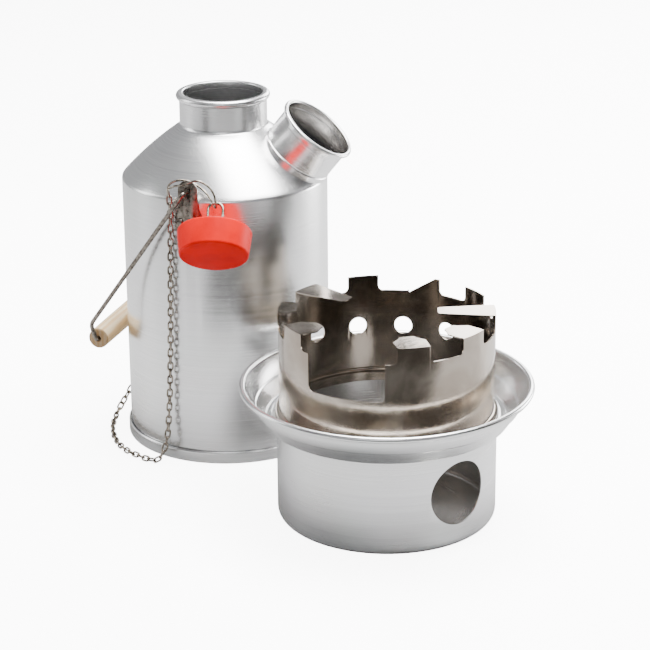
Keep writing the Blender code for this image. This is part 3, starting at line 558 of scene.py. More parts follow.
def makeStudio():
    bm = bmesh.new()
    bmesh.ops.create_grid(bm, x_segments=1, y_segments=1, size=studio["halfFloor"])
    skin, tree, shader = newMaterial("paper sweep", Roughness=0.55, Emission_Color=linear(studio["floor"]))
    fibres = noiseNode(tree, objectPlace(tree), 1 / (studio["fibreMm"] * mm), 2.0)["Fac"]
    sight = addNode(tree, "ShaderNodeLightPath").outputs["Is Camera Ray"]
    feed(
        tree, shader,
        Base_Color=mixNode(tree, sight, linear(studio["bounce"]), linear(studio["floor"])),
        Emission_Strength=mathNode(tree, "MULTIPLY", sight, studio["glow"]),
        Normal=bumpNode(tree, fibres, 0.05, 0.2 * mm),
    )
    newPiece("floor", bm, skin)
    world = bpy.data.worlds.new("studio")
    world.use_nodes = True
    sky = world.node_tree.nodes["Background"]
    sky.inputs["Color"].default_value = linear(studio["sky"])
    sky.inputs["Strength"].default_value = studio["skyStrength"]
    bpy.context.scene.world = world
    for name, place, (wide, high), power in lights:
        lamp = bpy.data.objects.new(name, bpy.data.lights.new(name, "AREA"))
        lamp.data.shape = "RECTANGLE"
        lamp.data.size = wide
        lamp.data.size_y = high
        lamp.data.energy = power
        lamp.location = place
        aimAt(lamp, studio["lit"])
        bpy.context.scene.collection.objects.link(lamp)
    board = newMaterial("black board", Roughness=0.9, Base_Color=linear(studio["dark"]))[0]
    for name, place, (wide, high), target in cards:
        bm = bmesh.new()
        bmesh.ops.create_grid(bm, x_segments=1, y_segments=1, size=0.5)
        card = newPiece(name, bm, board)
        card.scale = (wide, high, 1)
        card.location = place
        aimAt(card, target)
        card.visible_camera = False
        card.visible_shadow = False
        card.visible_diffuse = False


makeStudio()
print("studio made")

# ---- where the kettle stands

kettle = {
    "x": -104.3 * mm,
    "y": 143.1 * mm,
    "heading": -17.5,  # the spout's direction, seen from above
    "body": 68.7 * mm,
    "shoulderZ": 182.1 * mm,
    "neckZ": 216.7 * mm,
    "neck": 29.1 * mm,
    "top": 238.2 * mm,
    "wall": 1.2 * mm,
    "dome": 1.5 * mm,
    "crease": 1.2 * mm,
    "throat": 2.2 * mm,
    "lowZ": 2.5 * mm,  # the lower edges of the body and the flue
    "footProud": 1.76 * mm,
    "footHeight": 8.4 * mm,
    "footWall": 1.2 * mm,
    "footRound": 1.1 * mm,
    "flueWall": 1.0 * mm,
    "flueFoot": 61.0 * mm,
    "flueStraightZ": 178.0 * mm,
    "flueRound": 12.0 * mm,
    "beadHeight": 4.6 * mm,
    "beadProud": 2.1 * mm,
    "lipRound": 0.9 * mm,
    "gap": 0.3 * mm,
    "past": 5.0 * mm,  # how far a cutting tool runs past what it cuts
}
kettleTurn = Matrix.Rotation(math.radians(kettle["heading"]), 4, "Z")
kettlePlace = Matrix.Translation((kettle["x"], kettle["y"], 0)) @ kettleTurn

# ---- the chain first: its links lie along the route that the frame gives it

chain = {
    "link": 7.3 * mm,
    "width": 4.4 * mm,
    "wire": 1.3 * mm,
    "slack": 0.1 * mm,
    "endSteps": 6,
    "sides": 8,
    "flatZ": 10.0 * mm,  # under this the links lie on the ground
    "turn": 45,  # degrees, the other way on every second link
    "wobble": 9,
    "hanging": [
        (-12.7, -71.4, 187.3), (-12.4, -70.9, 180.0), (-12.2, -70.8, 170.0), (-13.0, -71.0, 140.0),
        (-14.2, -71.2, 100.0), (-15.8, -71.4, 60.0), (-17.4, -72.6, 30.0), (-18.6, -75.8, 14.0),
    ],
    "lying": [
        (-22.5, -79.4, 4.2), (-29.5, -79.0, 2.4), (-38.5, -75.5, 2.4), (-49.5, -69.5, 2.4),
        (-60.0, -59.5, 2.4), (-68.8, -46.5, 2.4), (-75.8, -31.0, 2.4), (-79.2, -18.0, 3.0),
    ],
    "rising": [(-79.6, -9.0, 6.6), (-77.6, -2.0, 12.2), (-75.8, 2.6, 16.6)],
}


def chainLink(bm, centre, along, side):
    # one oval link of round wire, its flat in the plane of along and side
    half = (chain["link"] - chain["wire"]) / 2
    wide = (chain["width"] - chain["wire"]) / 2
    straight = half - wide
    loop = []
    for end in (1, -1):
        for i in range(chain["endSteps"] + 1):
            t = math.radians(-90 + 180 * i / chain["endSteps"])
            loop.append((end * (straight + wide * math.cos(t)), end * wide * math.sin(t)))
    out = along.cross(side)
    rings = []
    for i, (x, y) in enumerate(loop):
        ahead, behind = loop[(i + 1) % len(loop)], loop[i - 1]
        run = Vector((ahead[0] - behind[0], ahead[1] - behind[1])).normalized()
        sideways = Vector((run.y, -run.x))
        ring = []
        for j in range(chain["sides"]):
            t = math.tau * j / chain["sides"]
            reach, rise = chain["wire"] / 2 * math.cos(t), chain["wire"] / 2 * math.sin(t)
            px, py = x + sideways.x * reach, y + sideways.y * reach
            ring.append(bm.verts.new(centre + along * px + side * py + out * rise))
        rings.append(ring)
    for ring, other in zip(rings, rings[1:] + rings[:1]):
        for j in range(chain["sides"]):
            k = (j + 1) % chain["sides"]
            bm.faces.new((ring[j], ring[k], other[k], other[j]))


def makeChain():
    points = [Vector(p) * mm for p in chain["hanging"] + chain["lying"] + chain["rising"]]
    pitch = chain["link"] - 2 * chain["wire"] + chain["slack"]
    route = smoothRoute(points, pitch)
    bm = bmesh.new()
    for i, point in enumerate(route):
        along = (route[min(i + 1, len(route) - 1)] - route[max(i - 1, 0)]).normalized()
        outward = Vector((point.x, point.y, 0)).normalized()
        up = Vector((0, 0, 1)) if point.z < chain["flatZ"] else outward
        across = along.cross(up).normalized()
        up = across.cross(along)
        wobble = math.radians(chain["wobble"] * math.sin(i * 1.7))
        turn = math.radians(chain["turn"] if i % 2 else -chain["turn"]) + wobble
        side = (across * math.cos(turn) + up * math.sin(turn)).normalized()
        chainLink(bm, point, along, side)
    piece = newPiece("chainLinks", bm, nickelSkin, kettlePlace)
    line = [kettlePlace @ p for p in smoothRoute(points, 3 * mm)]
    fit(piece, "kettle", ["stopper_chain"], 60)


makeChain()
print("chain made")


# ---- kettle

def shoulderPath(outer, steps=14):
    # the shoulder's domed slope, from the body up to the neck
    inset = 0 if outer else kettle["wall"]
    drop = 0 if outer else 0.5 * kettle["wall"]
    foot = Vector((kettle["body"] - inset, kettle["shoulderZ"] - drop))
    head = Vector((kettle["neck"] - inset, kettle["neckZ"] - drop))
    across = (head - foot).orthogonal().normalized()
    across = across if across.x > 0 else -across
    shares = [i / steps for i in range(steps + 1)]
    return [tuple(foot.lerp(head, t) + across * kettle["dome"] * 4 * t * (1 - t)) for t in shares]


def roundedPath(points, radius, steps=4):
    # gives the sharp corners of an open path a radius
    path = [points[0]]
    for a, b, c in zip(points, points[1:], points[2:]):
        a, b, c = Vector(a), Vector(b), Vector(c)
        cut = min(radius, (a - b).length * 0.45, (c - b).length * 0.45)
        first, last = b + (a - b).normalized() * cut, b + (c - b).normalized() * cut
        for i in range(steps + 1):
            t = i / steps
            path.append(tuple(first.lerp(b, t).lerp(b.lerp(last, t), t)))
    path.append(points[-1])
    return path


spout = {
    "tilt": 38.5,
    "rimX": 66.3 * mm,
    "rimZ": 217.8 * mm,
    "length": 22.7 * mm,
    "bore": 23.5 * mm,
    "wall": 0.9 * mm,
    "bead": 1.7 * mm,
    "lip": 0.5 * mm,
    "bossDepth": 14.0 * mm,
    "bossEdge": 0.5 * mm,
    "boreDepth": 15.0 * mm,
    "necking": 5.4 * mm,  # where the wall steps out under the rim
    "step": 0.35 * mm,
}
spoutTurn = Matrix.Rotation(math.radians(spout["tilt"]), 4, "Y")
spoutAlong = spoutTurn @ Vector((0, 0, 1))
spoutSeat = Vector((spout["rimX"], 0, spout["rimZ"])) - spoutAlong * spout["length"]

rivet = {
    "z": 168.0 * mm,
    "lugZ": 28.5 * mm,
    "spread": 5.6 * mm,
    "radius": 1.5 * mm,
    "head": 2.6 * mm,
    "rise": 1.4 * mm,
    "tail": 2.3 * mm,
    "tailRise": 1.0 * mm,
    "tailEdge": 0.4 * mm,
    "reach": 6.0 * mm,  # of its hole's cutter, each way from the wall
}
lug = {
    "heading": 175.0,
    "halfWidth": 5.0 * mm,
    "low": 12.0 * mm,
    "high": 33.0 * mm,
    "earZ": 18.0 * mm,
    "reach": 8.0 * mm,
    "earWall": 1.4 * mm,
    "wall": 1.2 * mm,
    "corner": 2.5 * mm,
    "ear": 3.6 * mm,
    "eye": 1.5 * mm,
    "edge": 0.2 * mm,
}
plateGap = 0.35 * mm
pivotZ = 189.6 * mm


def wallTurn(side, across):
    # the frame whose -Y points square through the body's wall at a rivet
    flip = Matrix.Rotation(math.pi, 4, "Z") if side < 0 else Matrix.Identity(4)
    return flip @ Matrix.Rotation(math.asin(side * across / (kettle["body"] + plateGap)), 4, "Z")


def rivetHole(turn, height):
    near, far = [turn @ Vector((0, -kettle["body"] + s * rivet["reach"], height)) for s in (-1, 1)]
    return "DIFFERENCE", rodMesh(near, far, rivet["radius"] + kettle["gap"], 24)


def makeShell():
    low = kettle["lowZ"]
    top = kettle["top"] - kettle["beadHeight"] - kettle["gap"]
    straight = shoulderPath(True)
    crease = roundedPath([(kettle["body"], low), straight[0], straight[1]], kettle["crease"])
    throat = roundedPath([straight[-2], straight[-1], (kettle["neck"], top)], kettle["throat"], 6)
    outside = [(0, low)] + crease[:-1] + straight[1:-1] + throat[1:] + [(0, top)]
    bore = kettle["neck"] - kettle["wall"]
    under, over = low - kettle["past"], top + kettle["past"]
    inside = [(0, under), (kettle["body"] - kettle["wall"], under)] + shoulderPath(False)
    inside += [(bore, over), (0, over)]
    shell = newPiece("kettleShell", turnedMesh(outside, 224), kettleSkin, kettlePlace)
    bossRadius = spout["bore"] + spout["wall"] + spout["lip"]
    depth, edge = spout["bossDepth"], spout["bossEdge"]
    bossOutline = [(0, -depth), (bossRadius, -depth), (bossRadius, -edge), (bossRadius - edge, 0), (0, 0)]
    boss = turnedMesh(bossOutline, 128)
    boss.transform(Matrix.Translation(spoutSeat) @ spoutTurn)
    start, end = spoutSeat - spoutAlong * spout["boreDepth"], spoutSeat + spoutAlong * kettle["past"]
    boreTool = rodMesh(start, end, bossRadius - kettle["wall"], 128)
    cuts = [("UNION", boss), ("DIFFERENCE", turnedMesh(inside, 224)), ("DIFFERENCE", boreTool)]
    for side in (1, -1):
        for across in (-rivet["spread"], rivet["spread"]):
            cuts.append(rivetHole(wallTurn(side, across), rivet["z"]))
    cuts.append(rivetHole(facing(lug["heading"]), rivet["lugZ"]))
    carve(shell, *cuts)
    fit(shell, "kettle", ["kettle_shell"], 30)


def makeFlue():
    radius = kettle["neck"] - kettle["wall"] - kettle["gap"] - kettle["flueWall"] / 2
    top = kettle["top"] - kettle["beadHeight"] - kettle["gap"]
    corners = [(kettle["flueFoot"], kettle["lowZ"]), (radius, kettle["flueStraightZ"]), (radius, top)]
    path = roundedPath(corners, kettle["flueRound"], 8)
    flue = newPiece("flueTube", turnedMesh(sheetOutline(path, kettle["flueWall"])), flueShadeSkin, kettlePlace)
    fit(flue, "kettle", ["chimney_tube"])


def makeFootRing():
    outer = kettle["body"] + kettle["footProud"]
    floor, round_ = kettle["footWall"], kettle["footRound"]
    inner = kettle["flueFoot"] - kettle["flueWall"] / 2 - kettle["gap"] - floor
    high = kettle["footHeight"]
    clear = kettle["body"] + 2 * kettle["gap"]
    outline = [(inner + 0.3 * mm, 0)] + arcPoints(outer - round_, round_, round_, -90, 0, 6)
    # the upper edge is eased over, and the inner edge has a small upstand
    outline += [(outer, high - 1.6 * mm), (outer - 0.1 * mm, high - 0.5 * mm), (outer - 0.45 * mm, high)]
    outline += [(clear, high), (clear, floor), (inner + 0.2 * mm, floor)]
    outline += [(inner + 0.2 * mm, floor + 0.8 * mm), (inner, floor + 0.8 * mm), (inner, 0.3 * mm)]
    ring = newPiece("footRing", turnedMesh(outline, 224), kettleSkin, kettlePlace)
    fit(ring, "kettle", ["foot_ring"], 32)


def makeNeckBead():
    low = kettle["top"] - kettle["beadHeight"]
    inner = kettle["neck"] - kettle["wall"] - kettle["gap"] - kettle["flueWall"]
    half = kettle["beadHeight"] / 2
    outer = kettle["neck"] + kettle["beadProud"]
    outline = [(inner, low), (outer - half, low)]
    outline += arcPoints(outer - half, low + half, half, -70, 90, 12)
    lip = kettle["lipRound"]
    outline += arcPoints(inner + lip, kettle["top"] - lip, lip, 90, 180, 5)
    bead = newPiece("neckBead", turnedMesh(outline), kettleSkin, kettlePlace)
    fit(bead, "kettle", ["neck_bead"], 50)


def makeSpout():
    middle = spout["bore"] + spout["wall"] / 2
    curl = spout["bead"] / 2 + 0.15 * mm
    step, stepZ = spout["step"], spout["length"] - spout["necking"]
    path = [(middle, kettle["gap"]), (middle, stepZ)]
    path += [(middle + 0.15 * mm, stepZ + 0.3 * mm), (middle + step, stepZ + 0.7 * mm)]
    path += arcPoints(middle + step + curl, spout["length"] - curl, curl, 180, -40, 14)
    tube = newPiece(
        "fillerSpout", turnedMesh(sheetOutline(path, spout["wall"]), 144), spoutSkin,
        kettlePlace @ Matrix.Translation(spoutSeat) @ spoutTurn,
    )
    fit(tube, "kettle", ["filler_spout"], 45)


bracket = {
    "wall": 1.6 * mm,
    "halfWidth": 9.0 * mm,
    "low": 161.5 * mm,
    "ear": 6.6 * mm,
    "corner": 2.0 * mm,
    "edge": 0.25 * mm,
}


def platePiece(name, outline, wall, turn, skin):
    # a plate cut to an outline from a band that follows the body's wall
    inner = kettle["body"] + plateGap
    heights = [z for x, z in outline]
    low, high = min(heights) - mm, max(heights) + mm
    band = [(inner, low), (inner + wall, low), (inner + wall, high), (inner, high)]
    plate = newPiece(name, turnedMesh(band, 288), skin, kettlePlace)
    carve(plate, ("INTERSECT", prismMesh(outline, -2 * kettle["body"], -0.5 * kettle["body"], turn)))
    return plate


def makeBracket(side, label):
    wide, ear, low, corner = bracket["halfWidth"], bracket["ear"], bracket["low"], bracket["corner"]
    outline = arcPoints(-wide + corner, low + corner, corner, 180, 270, 4)
    outline += arcPoints(wide - corner, low + corner, corner, 270, 360, 4)
    # the sides taper in above the rivets, to the ear round the pivot
    z = rivet["z"]
    taper = [(wide, z + 2 * mm), (wide, z + 4 * mm), (ear, z + 9 * mm), (ear, pivotZ)]
    shoulder = roundedPath(taper, corner)[:-1]
    outline += shoulder + arcPoints(0, pivotZ, ear, 0, 180, 16) + [(-x, z) for x, z in reversed(shoulder)]
    turn = Matrix.Rotation(math.pi, 4, "Z") if side < 0 else Matrix.Identity(4)
    plate = platePiece("bracket" + label, outline, bracket["wall"], turn, zincSkin)
    cuts = [rivetHole(wallTurn(side, across), rivet["z"]) for across in (-rivet["spread"], rivet["spread"])]
    near, far = [turn @ Vector((0, -kettle["body"] + s * rivet["reach"], pivotZ)) for s in (-1, 1)]
    cuts.append(("DIFFERENCE", rodMesh(near, far, bail["wire"] + 2 * kettle["gap"], 32)))
    carve(plate, *cuts)
    soften(plate, bracket["edge"])
    fit(plate, "kettle", ["bail_bracket_" + label.lower()])


def makeRivet(name, node, turn, height, wall):
    # a domed head, a shank and the tail formed inside
    face = kettle["body"] + plateGap + wall
    tail = face - kettle["body"] + kettle["wall"] + rivet["tailEdge"]
    end = -tail - rivet["tailRise"]
    head, rise, wide, edge = rivet["head"], rivet["rise"], rivet["tail"], rivet["tailEdge"]
    outline = [(0, end), (wide - edge, end), (wide, end + edge), (wide, -tail)]
    outline += [(rivet["radius"], -tail), (rivet["radius"], kettle["gap"]), (head, kettle["gap"])]
    for i in range(1, 8):
        t = math.radians(90 * i / 8)
        outline.append((head * math.cos(t), kettle["gap"] + (rise - kettle["gap"]) * math.sin(t)))
    outline.append((0, rise))
    bm = turnedMesh(outline, 40)
    out = turn @ Matrix.Translation((0, -face, height)) @ Matrix.Rotation(math.radians(90), 4, "X")
    piece = newPiece(name, bm, zincSkin, kettlePlace @ out)
    fit(piece, "kettle", [node], 50)


bail = {
    "wire": 1.45 * mm,
    "head": 2.8 * mm,
    "planeY": 79.5 * mm,
    "cornerX": -80.1 * mm,
    "cornerZ": 83.5 * mm,
    "gripX": -76.6 * mm,
    "gripZ": 72.6 * mm,
    "grip": 7.2 * mm,
    "gripHalf": 48.0 * mm,
    "gripEdge": 1.1 * mm,
    "gripSwell": 0.2 * mm,
    "legGap": 3.0 * mm,
    "headReach": 0.8 * mm,  # from the body's radius in to the outer face of the wire's head
    "pivotBend": 3.2 * mm,
    "cornerBend": 3.5 * mm,
}


def makeBail():
    headY = kettle["body"] - bail["headReach"]
    legY = bail["gripHalf"] + bail["legGap"]
    pivot = Vector((0, -bail["planeY"], pivotZ))
    corner = Vector((bail["cornerX"], -legY, bail["cornerZ"]))
    foot = Vector((bail["gripX"], -legY, bail["gripZ"]))
    middle = Vector((bail["gripX"], 0, bail["gripZ"]))
    start = Vector((0, -headY - 3 * mm, pivotZ))
    front = [Vector((0, -headY + s * mm, pivotZ)) for s in (1.2, 0.95, 0.25, 0.0, -0.02)]
    front += [start] + bend(start, pivot, corner, bail["pivotBend"])
    front += bend(pivot, corner, foot, bail["cornerBend"])
    front += bend(corner, foot, middle, bail["legGap"] - 0.2 * mm)
    points = front + [Vector((p.x, -p.y, p.z)) for p in reversed(front)]
    big = bail["head"] / bail["wire"]
    radii = [1.0] * len(points)
    for i, share in enumerate((0.8, 1.0, 1.0, 0.85)):
        radii[i] = radii[-1 - i] = big * share
    wire = wirePiece("bailWire", points, bail["wire"], zincSkin, kettlePlace, radii=radii, sides=20)
    fit(wire, "bail", ["bail_wire"], 50)


def makeGrip():
    # turned dowel with softened ends, a little fuller in the middle, bored for the wire
    half, radius, bore = bail["gripHalf"], bail["grip"], bail["wire"] + kettle["gap"]
    edge, swell = bail["gripEdge"], bail["gripSwell"]
    countersink, steps = 0.5 * mm, 12
    side = [(bore + countersink, -half)] + arcPoints(radius - swell - edge, -half + edge, edge, -90, 0, 5)
    for i in range(1, steps):
        t = i / steps
        side.append((radius - swell * (1 - 4 * t * (1 - t)), -half + 2 * mm + (2 * half - 4 * mm) * t))
    side += arcPoints(radius - swell - edge, half - edge, edge, 0, 90, 5) + [(bore + countersink, half)]
    outline = [(bore, -half + countersink)] + side + [(bore, half - countersink)]
    across = Matrix.Rotation(math.radians(90), 4, "X")
    place = kettlePlace @ Matrix.Translation((bail["gripX"], 0, bail["gripZ"])) @ across
    grip = newPiece("beechGrip", turnedMesh(outline, 64), beechSkin, place)
    fit(grip, "grip", ["bail_grip"], 45)


stopper = {
    "large": 23.9 * mm,
    "small": 22.3 * mm,
    "height": 17.5 * mm,
    "edge": 1.6 * mm,
    "tilt": 43.0,
    "heading": -74.7,
    "reach": 20.0 * mm,
    "faceZ": 168.5 * mm,  # the height of its upper face's middle
    "dish": 0.5 * mm,
    "dishRim": 3.4 * mm,
    "stapleHalf": 4.8 * mm,
    "stapleWire": 0.9 * mm,
    "stapleFoot": 5.5 * mm,  # how deep its legs sit in the rubber
    "ringWire": 0.7 * mm,
    "ringStep": 0.8 * mm,
}


def stopperPlace():
    # where the stopper hangs: -Z runs down its axis
    heading, lean = math.radians(stopper["heading"]), math.radians(stopper["tilt"])
    outward = Vector((math.cos(heading), math.sin(heading), 0))
    axis = outward * math.sin(lean) - Vector((0, 0, math.cos(lean)))
    reach = stopper["large"] * math.cos(lean) + 0.6 * mm
    top = outward * (kettle["body"] + reach) + Vector((0, 0, stopper["faceZ"]))
    across = Vector((0, 0, 1)).cross(outward)
    turn = Matrix((across, axis.cross(across), -axis)).transposed().to_4x4()
    return Matrix.Translation(top - axis * stopper["reach"]) @ turn


def makeStopper():
    top = -stopper["reach"]
    low = top - stopper["height"]
    edge = stopper["edge"]
    large, small = stopper["large"], stopper["small"]
    outline = [(0, low)] + arcPoints(small - edge, low + edge, edge, -90, 0, 8)
    outline += arcPoints(large - edge, top - edge, edge, 0, 90, 8)
    dish, dishRadius = stopper["dish"], large - stopper["dishRim"]
    outline += [(dishRadius, top), (dishRadius - 0.8 * mm, top - dish), (0, top - dish)]
    plug = newPiece("siliconeStopper", turnedMesh(outline, 144), siliconeSkin, kettlePlace @ stopperPlace())
    half, bore = stopper["stapleHalf"], stopper["stapleWire"] + 0.1 * mm
    foot = top - stopper["stapleFoot"]
    under, over = foot - 0.5 * mm, top + kettle["past"]
    legs = [rodMesh((x, 0, under), (x, 0, over), bore, 24) for x in (-half, half)]
    carve(plug, *[("DIFFERENCE", leg) for leg in legs])
    fit(plug, "stopper", ["stopper"], 40)
    leg = [(-half, foot), (-half, foot + 6 * mm), (-half, -half - 5 * mm)]
    loop = arcPoints(0, -half, half, 180, 0, 24)
    points = [Vector((x, 0, z)) for x, z in leg + loop + [(-x, z) for x, z in reversed(leg)]]
    place = kettlePlace @ stopperPlace()
    staple = wirePiece("stopperStaple", points, stopper["stapleWire"], nickelSkin, place, sides=14)
    fit(staple, "stopper", ["stopper_staple"], 60)


def makeRing():
    # the loop passes over the bracket in front, through the staple, and back behind it
    hang = stopperPlace()
    threaded = [hang @ (Vector(p) * mm) for p in ((0.3, 3.0, -1.6), (0, 0, -2.1), (-0.6, -2.8, -2.0))]
    front = [(-12.6, -71.6, 190.6), (-8.0, -72.6, 192.6), (-2.0, -72.9, 194.2), (3.5, -72.7, 196.4)]
    front += [(8.5, -72.0, 197.2), (14.0, -71.0, 194.2), (18.2, -71.6, 189.6)]
    rear = [(15.2, -68.9, 184.4), (9.6, -66.7, 189.8), (0.0, -66.0, 194.6), (-7.6, -67.2, 195.0)]
    rear.append((-12.0, -69.4, 193.2))
    points = [Vector(p) * mm for p in front] + threaded + [Vector(p) * mm for p in rear]
    route = smoothRoute(points, stopper["ringStep"], cyclic=True)
    ring = wirePiece(
        "stopperRing", route, stopper["ringWire"], nickelSkin, kettlePlace, cyclic=True, sides=12
    )
    fit(ring, "kettle", ["stopper_ring"], 60)


def makeLug():
    turn = facing(lug["heading"])
    wide, corner, half = lug["halfWidth"], lug["corner"], lug["ear"]
    outline = []
    for sx, sz, start in ((1, 1, 0), (-1, 1, 90), (-1, -1, 180), (1, -1, 270)):
        level = lug["high"] if sz > 0 else lug["low"]
        outline += arcPoints(sx * (wide - corner), level - sz * corner, corner, start, start + 90, 6)
    plate = platePiece("chainLug", outline, lug["wall"], turn, zincSkin)
    root = kettle["body"] + plateGap + lug["wall"] / 2
    tip = kettle["body"] + lug["reach"]
    ear = [(-root, lug["earZ"] - half), (-root, lug["earZ"] + half)]
    ear += arcPoints(-tip + half, lug["earZ"], half, 90, 270, 12)
    sideways = turn @ Matrix.Rotation(math.radians(90), 4, "Z")
    near, far = [turn @ Vector((x, -tip + half + 0.2 * mm, lug["earZ"])) for x in (-wide, wide)]
    carve(
        plate,
        ("UNION", prismMesh(ear, -lug["earWall"] / 2, lug["earWall"] / 2, sideways)),
        ("DIFFERENCE", rodMesh(near, far, lug["eye"], 24)),
        rivetHole(turn, rivet["lugZ"]),
    )
    soften(plate, lug["edge"])
    fit(plate, "kettle", ["chain_lug"])


makeShell()
makeFlue()
makeFootRing()
makeNeckBead()
makeSpout()
print("kettle body made")
for label, side in (("Front", 1), ("Rear", -1)):
    makeBracket(side, label)
    for number, across in ((1, -rivet["spread"]), (2, rivet["spread"])):
        node = f"bracket_rivet_{label.lower()}_{number}"
        makeRivet(f"rivet{label}{number}", node, wallTurn(side, across), rivet["z"], bracket["wall"])
makeRivet("rivetLug", "lug_rivet", facing(lug["heading"]), rivet["lugZ"], lug["wall"])
makeBail()
makeGrip()
makeStopper()
makeRing()
makeLug()
print("kettle fittings made")

# ---- fire base

base = {
    "wall": 1.2 * mm,
    "cup": 69.1 * mm,
    "corner": 4.8 * mm,
    "seatZ": 68.1 * mm,
    "seatRound": 1.6 * mm,
    "ledgeZ": 64.7 * mm,
    "flareFoot": 77.0 * mm,
    "flareStep": 82.4 * mm,
    "flareStepZ": 74.0 * mm,
    "rim": 92.2 * mm,
    "rimZ": 86.2 * mm,
    "curl": 1.3 * mm,
    "eased": 1.2 * mm,  # the radius of the ledge's and the flare's creases
    "holeHeading": -51.5,
    "holeZ": 35.7 * mm,
    "hole": 20.5 * mm,
}


def makeFireBase():
    half = base["wall"] / 2
    cup = base["cup"] - half
    path = [(0, half), (30 * mm, half), (50 * mm, half)]
    path += arcPoints(cup - base["corner"], half + base["corner"], base["corner"], -90, 0, 8)
    seat = base["seatRound"]
    path += arcPoints(cup + seat, base["seatZ"] - half - seat, seat, 180, 90, 6)
    ledge = [
        (cup + seat + 1.0 * mm, base["seatZ"] - half),
        (cup + seat + 3.4 * mm, base["ledgeZ"] + half),
        (base["flareFoot"] - half - 0.4 * mm, base["ledgeZ"] + half),
        (base["flareStep"] - half, base["flareStepZ"]),
        (base["flareStep"] - half + 0.9 * mm, base["flareStepZ"] + 0.5 * mm),
    ]
    curlMiddle = base["rim"] - half - base["curl"]
    ledge.append((curlMiddle - base["curl"], base["rimZ"] - 0.8 * mm))
    path += roundedPath(ledge, base["eased"], 3)
    path += arcPoints(curlMiddle, base["rimZ"], base["curl"], 180, -60, 12)
    cup = newPiece("fireBase", turnedMesh(sheetOutline(path, base["wall"]), 224), baseSkin)
    heading = math.radians(base["holeHeading"])
    outward = Vector((math.cos(heading), math.sin(heading), 0))
    level = Vector((0, 0, base["holeZ"]))
    near, far = [level + outward * share * base["cup"] for share in (0.5, 1.3)]
    carve(cup, ("DIFFERENCE", rodMesh(near, far, base["hole"], 96)))
    fit(cup, "fire_base", ["fire_base"], 32)


# ---- stove ring

drum = {
    "wall": 0.8 * mm,
    "radius": 67.3 * mm,
    "bead": 2.3 * mm,
    "spigot": 5.5 * mm,
    "notchZ": 124.5 * mm,
    "topZ": 134.6 * mm,
    "tab": 20.0 * mm,
    "windowZ": 100.6 * mm,
    "window": (-46.0, -2.5),
    "notchCorner": 3.2 * mm,
    "flapCorner": 2.4 * mm,
    "edge": 0.16 * mm,
    "port": 5.8 * mm,
    "portZ": 100.8 * mm,
    "ports": (117.0, 143.0, 169.0, 194.5, 220.0, 246.0),
    # how far in a folded tab reaches, how far it keeps its width, half its tip, in mm
    "flaps": {"short": (19.5, 12.0, 5.3), "long": (35.5, 1.5, 5.8), "stub": (11.5, 7.5, 7.4)},
    # degrees from the front, and what is done with the tab
    "tabs": [
        (12.5, "short"), (49.8, "short"), (89.0, "long"), (121.5, "upright"), (156.5, "spike"),
        (191.5, "upright"), (229.0, "long"), (263.0, "stub"), (299.8, "short"),
    ],
}


def flapOutline(kind):
    # a folded tab seen from above: its root follows the wall
    reach, straight, tip = [v * mm for v in drum["flaps"][kind]]
    middle = drum["radius"] - drum["wall"] / 2
    half = drum["tab"] / 2
    spread = math.degrees(math.asin(half / middle))
    root = arcPoints(0, 0, middle, -90 - spread, -90 + spread, 10)
    corner = drum["flapCorner"]
    tipRound = arcPoints(tip - corner, reach - middle - corner, corner, 0, 90, 6)
    side = (half, straight - middle)
    return root + [side] + tipRound + [(-x, y) for x, y in reversed(tipRound)] + [(-half, straight - middle)]


def notchCut(first, last, low):
    # opens the wall above a height, between two angles
    halfAngle = math.radians(last - first) / 2
    half = drum["radius"] * math.sin(halfAngle)
    corner = drum["notchCorner"]
    high = drum["topZ"] + 10 * mm
    outline = arcPoints(-half + corner, low + corner, corner, 180, 270, 8)
    outline += arcPoints(half - corner, low + corner, corner, 270, 360, 8) + [(half, high), (-half, high)]
    inside = -drum["radius"] * math.cos(halfAngle) + drum["wall"] + mm
    return "DIFFERENCE", prismMesh(outline, -1.2 * drum["radius"], inside, facing((first + last) / 2 - 90))


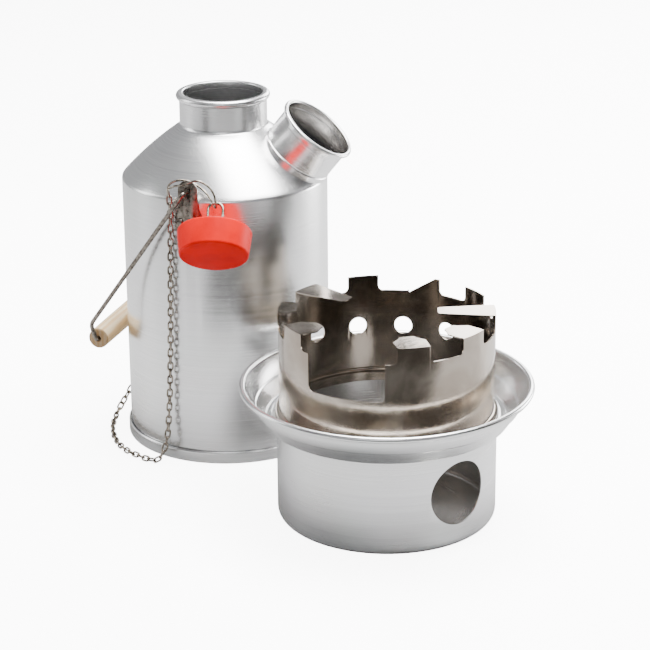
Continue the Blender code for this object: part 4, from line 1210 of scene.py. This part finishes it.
def drumBeadZ():
    # the height at which the drum's bead rests on the rounded seat, with the gap between them
    seatRound = base["seatRound"] + base["wall"] / 2
    beadRound = drum["bead"] + drum["wall"] / 2
    across = base["cup"] - base["wall"] / 2 + base["seatRound"] - (drum["radius"] - drum["wall"] / 2)
    rise = math.sqrt((seatRound + beadRound + kettle["gap"]) ** 2 - across**2)
    return base["seatZ"] - base["wall"] / 2 - base["seatRound"] + rise


def makeDrum():
    middle = drum["radius"] - drum["wall"] / 2
    beadZ = drumBeadZ()
    path = [(middle, beadZ - drum["bead"] - drum["spigot"])]
    path += arcPoints(middle, beadZ, drum["bead"], -90, 90, 12)
    path += [(middle, 90 * mm), (middle, 110 * mm), (middle, drum["topZ"])]
    wall = newPiece("stoveDrum", turnedMesh(sheetOutline(path, drum["wall"]), 240), drumSkin)
    cuts = []
    flat = Matrix.Rotation(math.radians(-90), 4, "X")
    for angle, kind in drum["tabs"]:
        if kind in drum["flaps"]:
            place = facing(angle - 90) @ Matrix.Translation((0, 0, drum["topZ"])) @ flat
            cuts.append(("UNION", prismMesh(flapOutline(kind), 0, drum["wall"], place)))
    half = math.degrees(math.asin(drum["tab"] / 2 / drum["radius"]))
    ends = [(angle - half, angle + half) for angle, kind in drum["tabs"]]
    for (_, left), (right, _) in zip(ends, ends[1:] + [(ends[0][0] + 360, 0)]):
        cuts.append(notchCut(left, right, drum["notchZ"]))
    cuts.append(notchCut(*drum["window"], drum["windowZ"]))
    near, far = -1.2 * drum["radius"], -0.5 * drum["radius"]
    for angle in drum["ports"]:
        start, end = [facing(angle - 90) @ Vector((0, y, drum["portZ"])) for y in (near, far)]
        cuts.append(("DIFFERENCE", rodMesh(start, end, drum["port"], 40)))
    for angle in [a for a, kind in drum["tabs"] if kind == "spike"]:
        w = drum["tab"] / 2
        slope = [(-w, drum["topZ"] + 2 * mm), (w + mm, drum["notchZ"] - mm), (w + mm, drum["topZ"] + 2 * mm)]
        cuts.append(("DIFFERENCE", prismMesh(slope, near, far, facing(angle - 90))))
    carve(wall, *cuts)
    soften(wall, drum["edge"], 2, 60)
    fit(wall, "stove_ring", ["stove_ring"], 32)


makeFireBase()
makeDrum()
print("fire base and stove ring made")
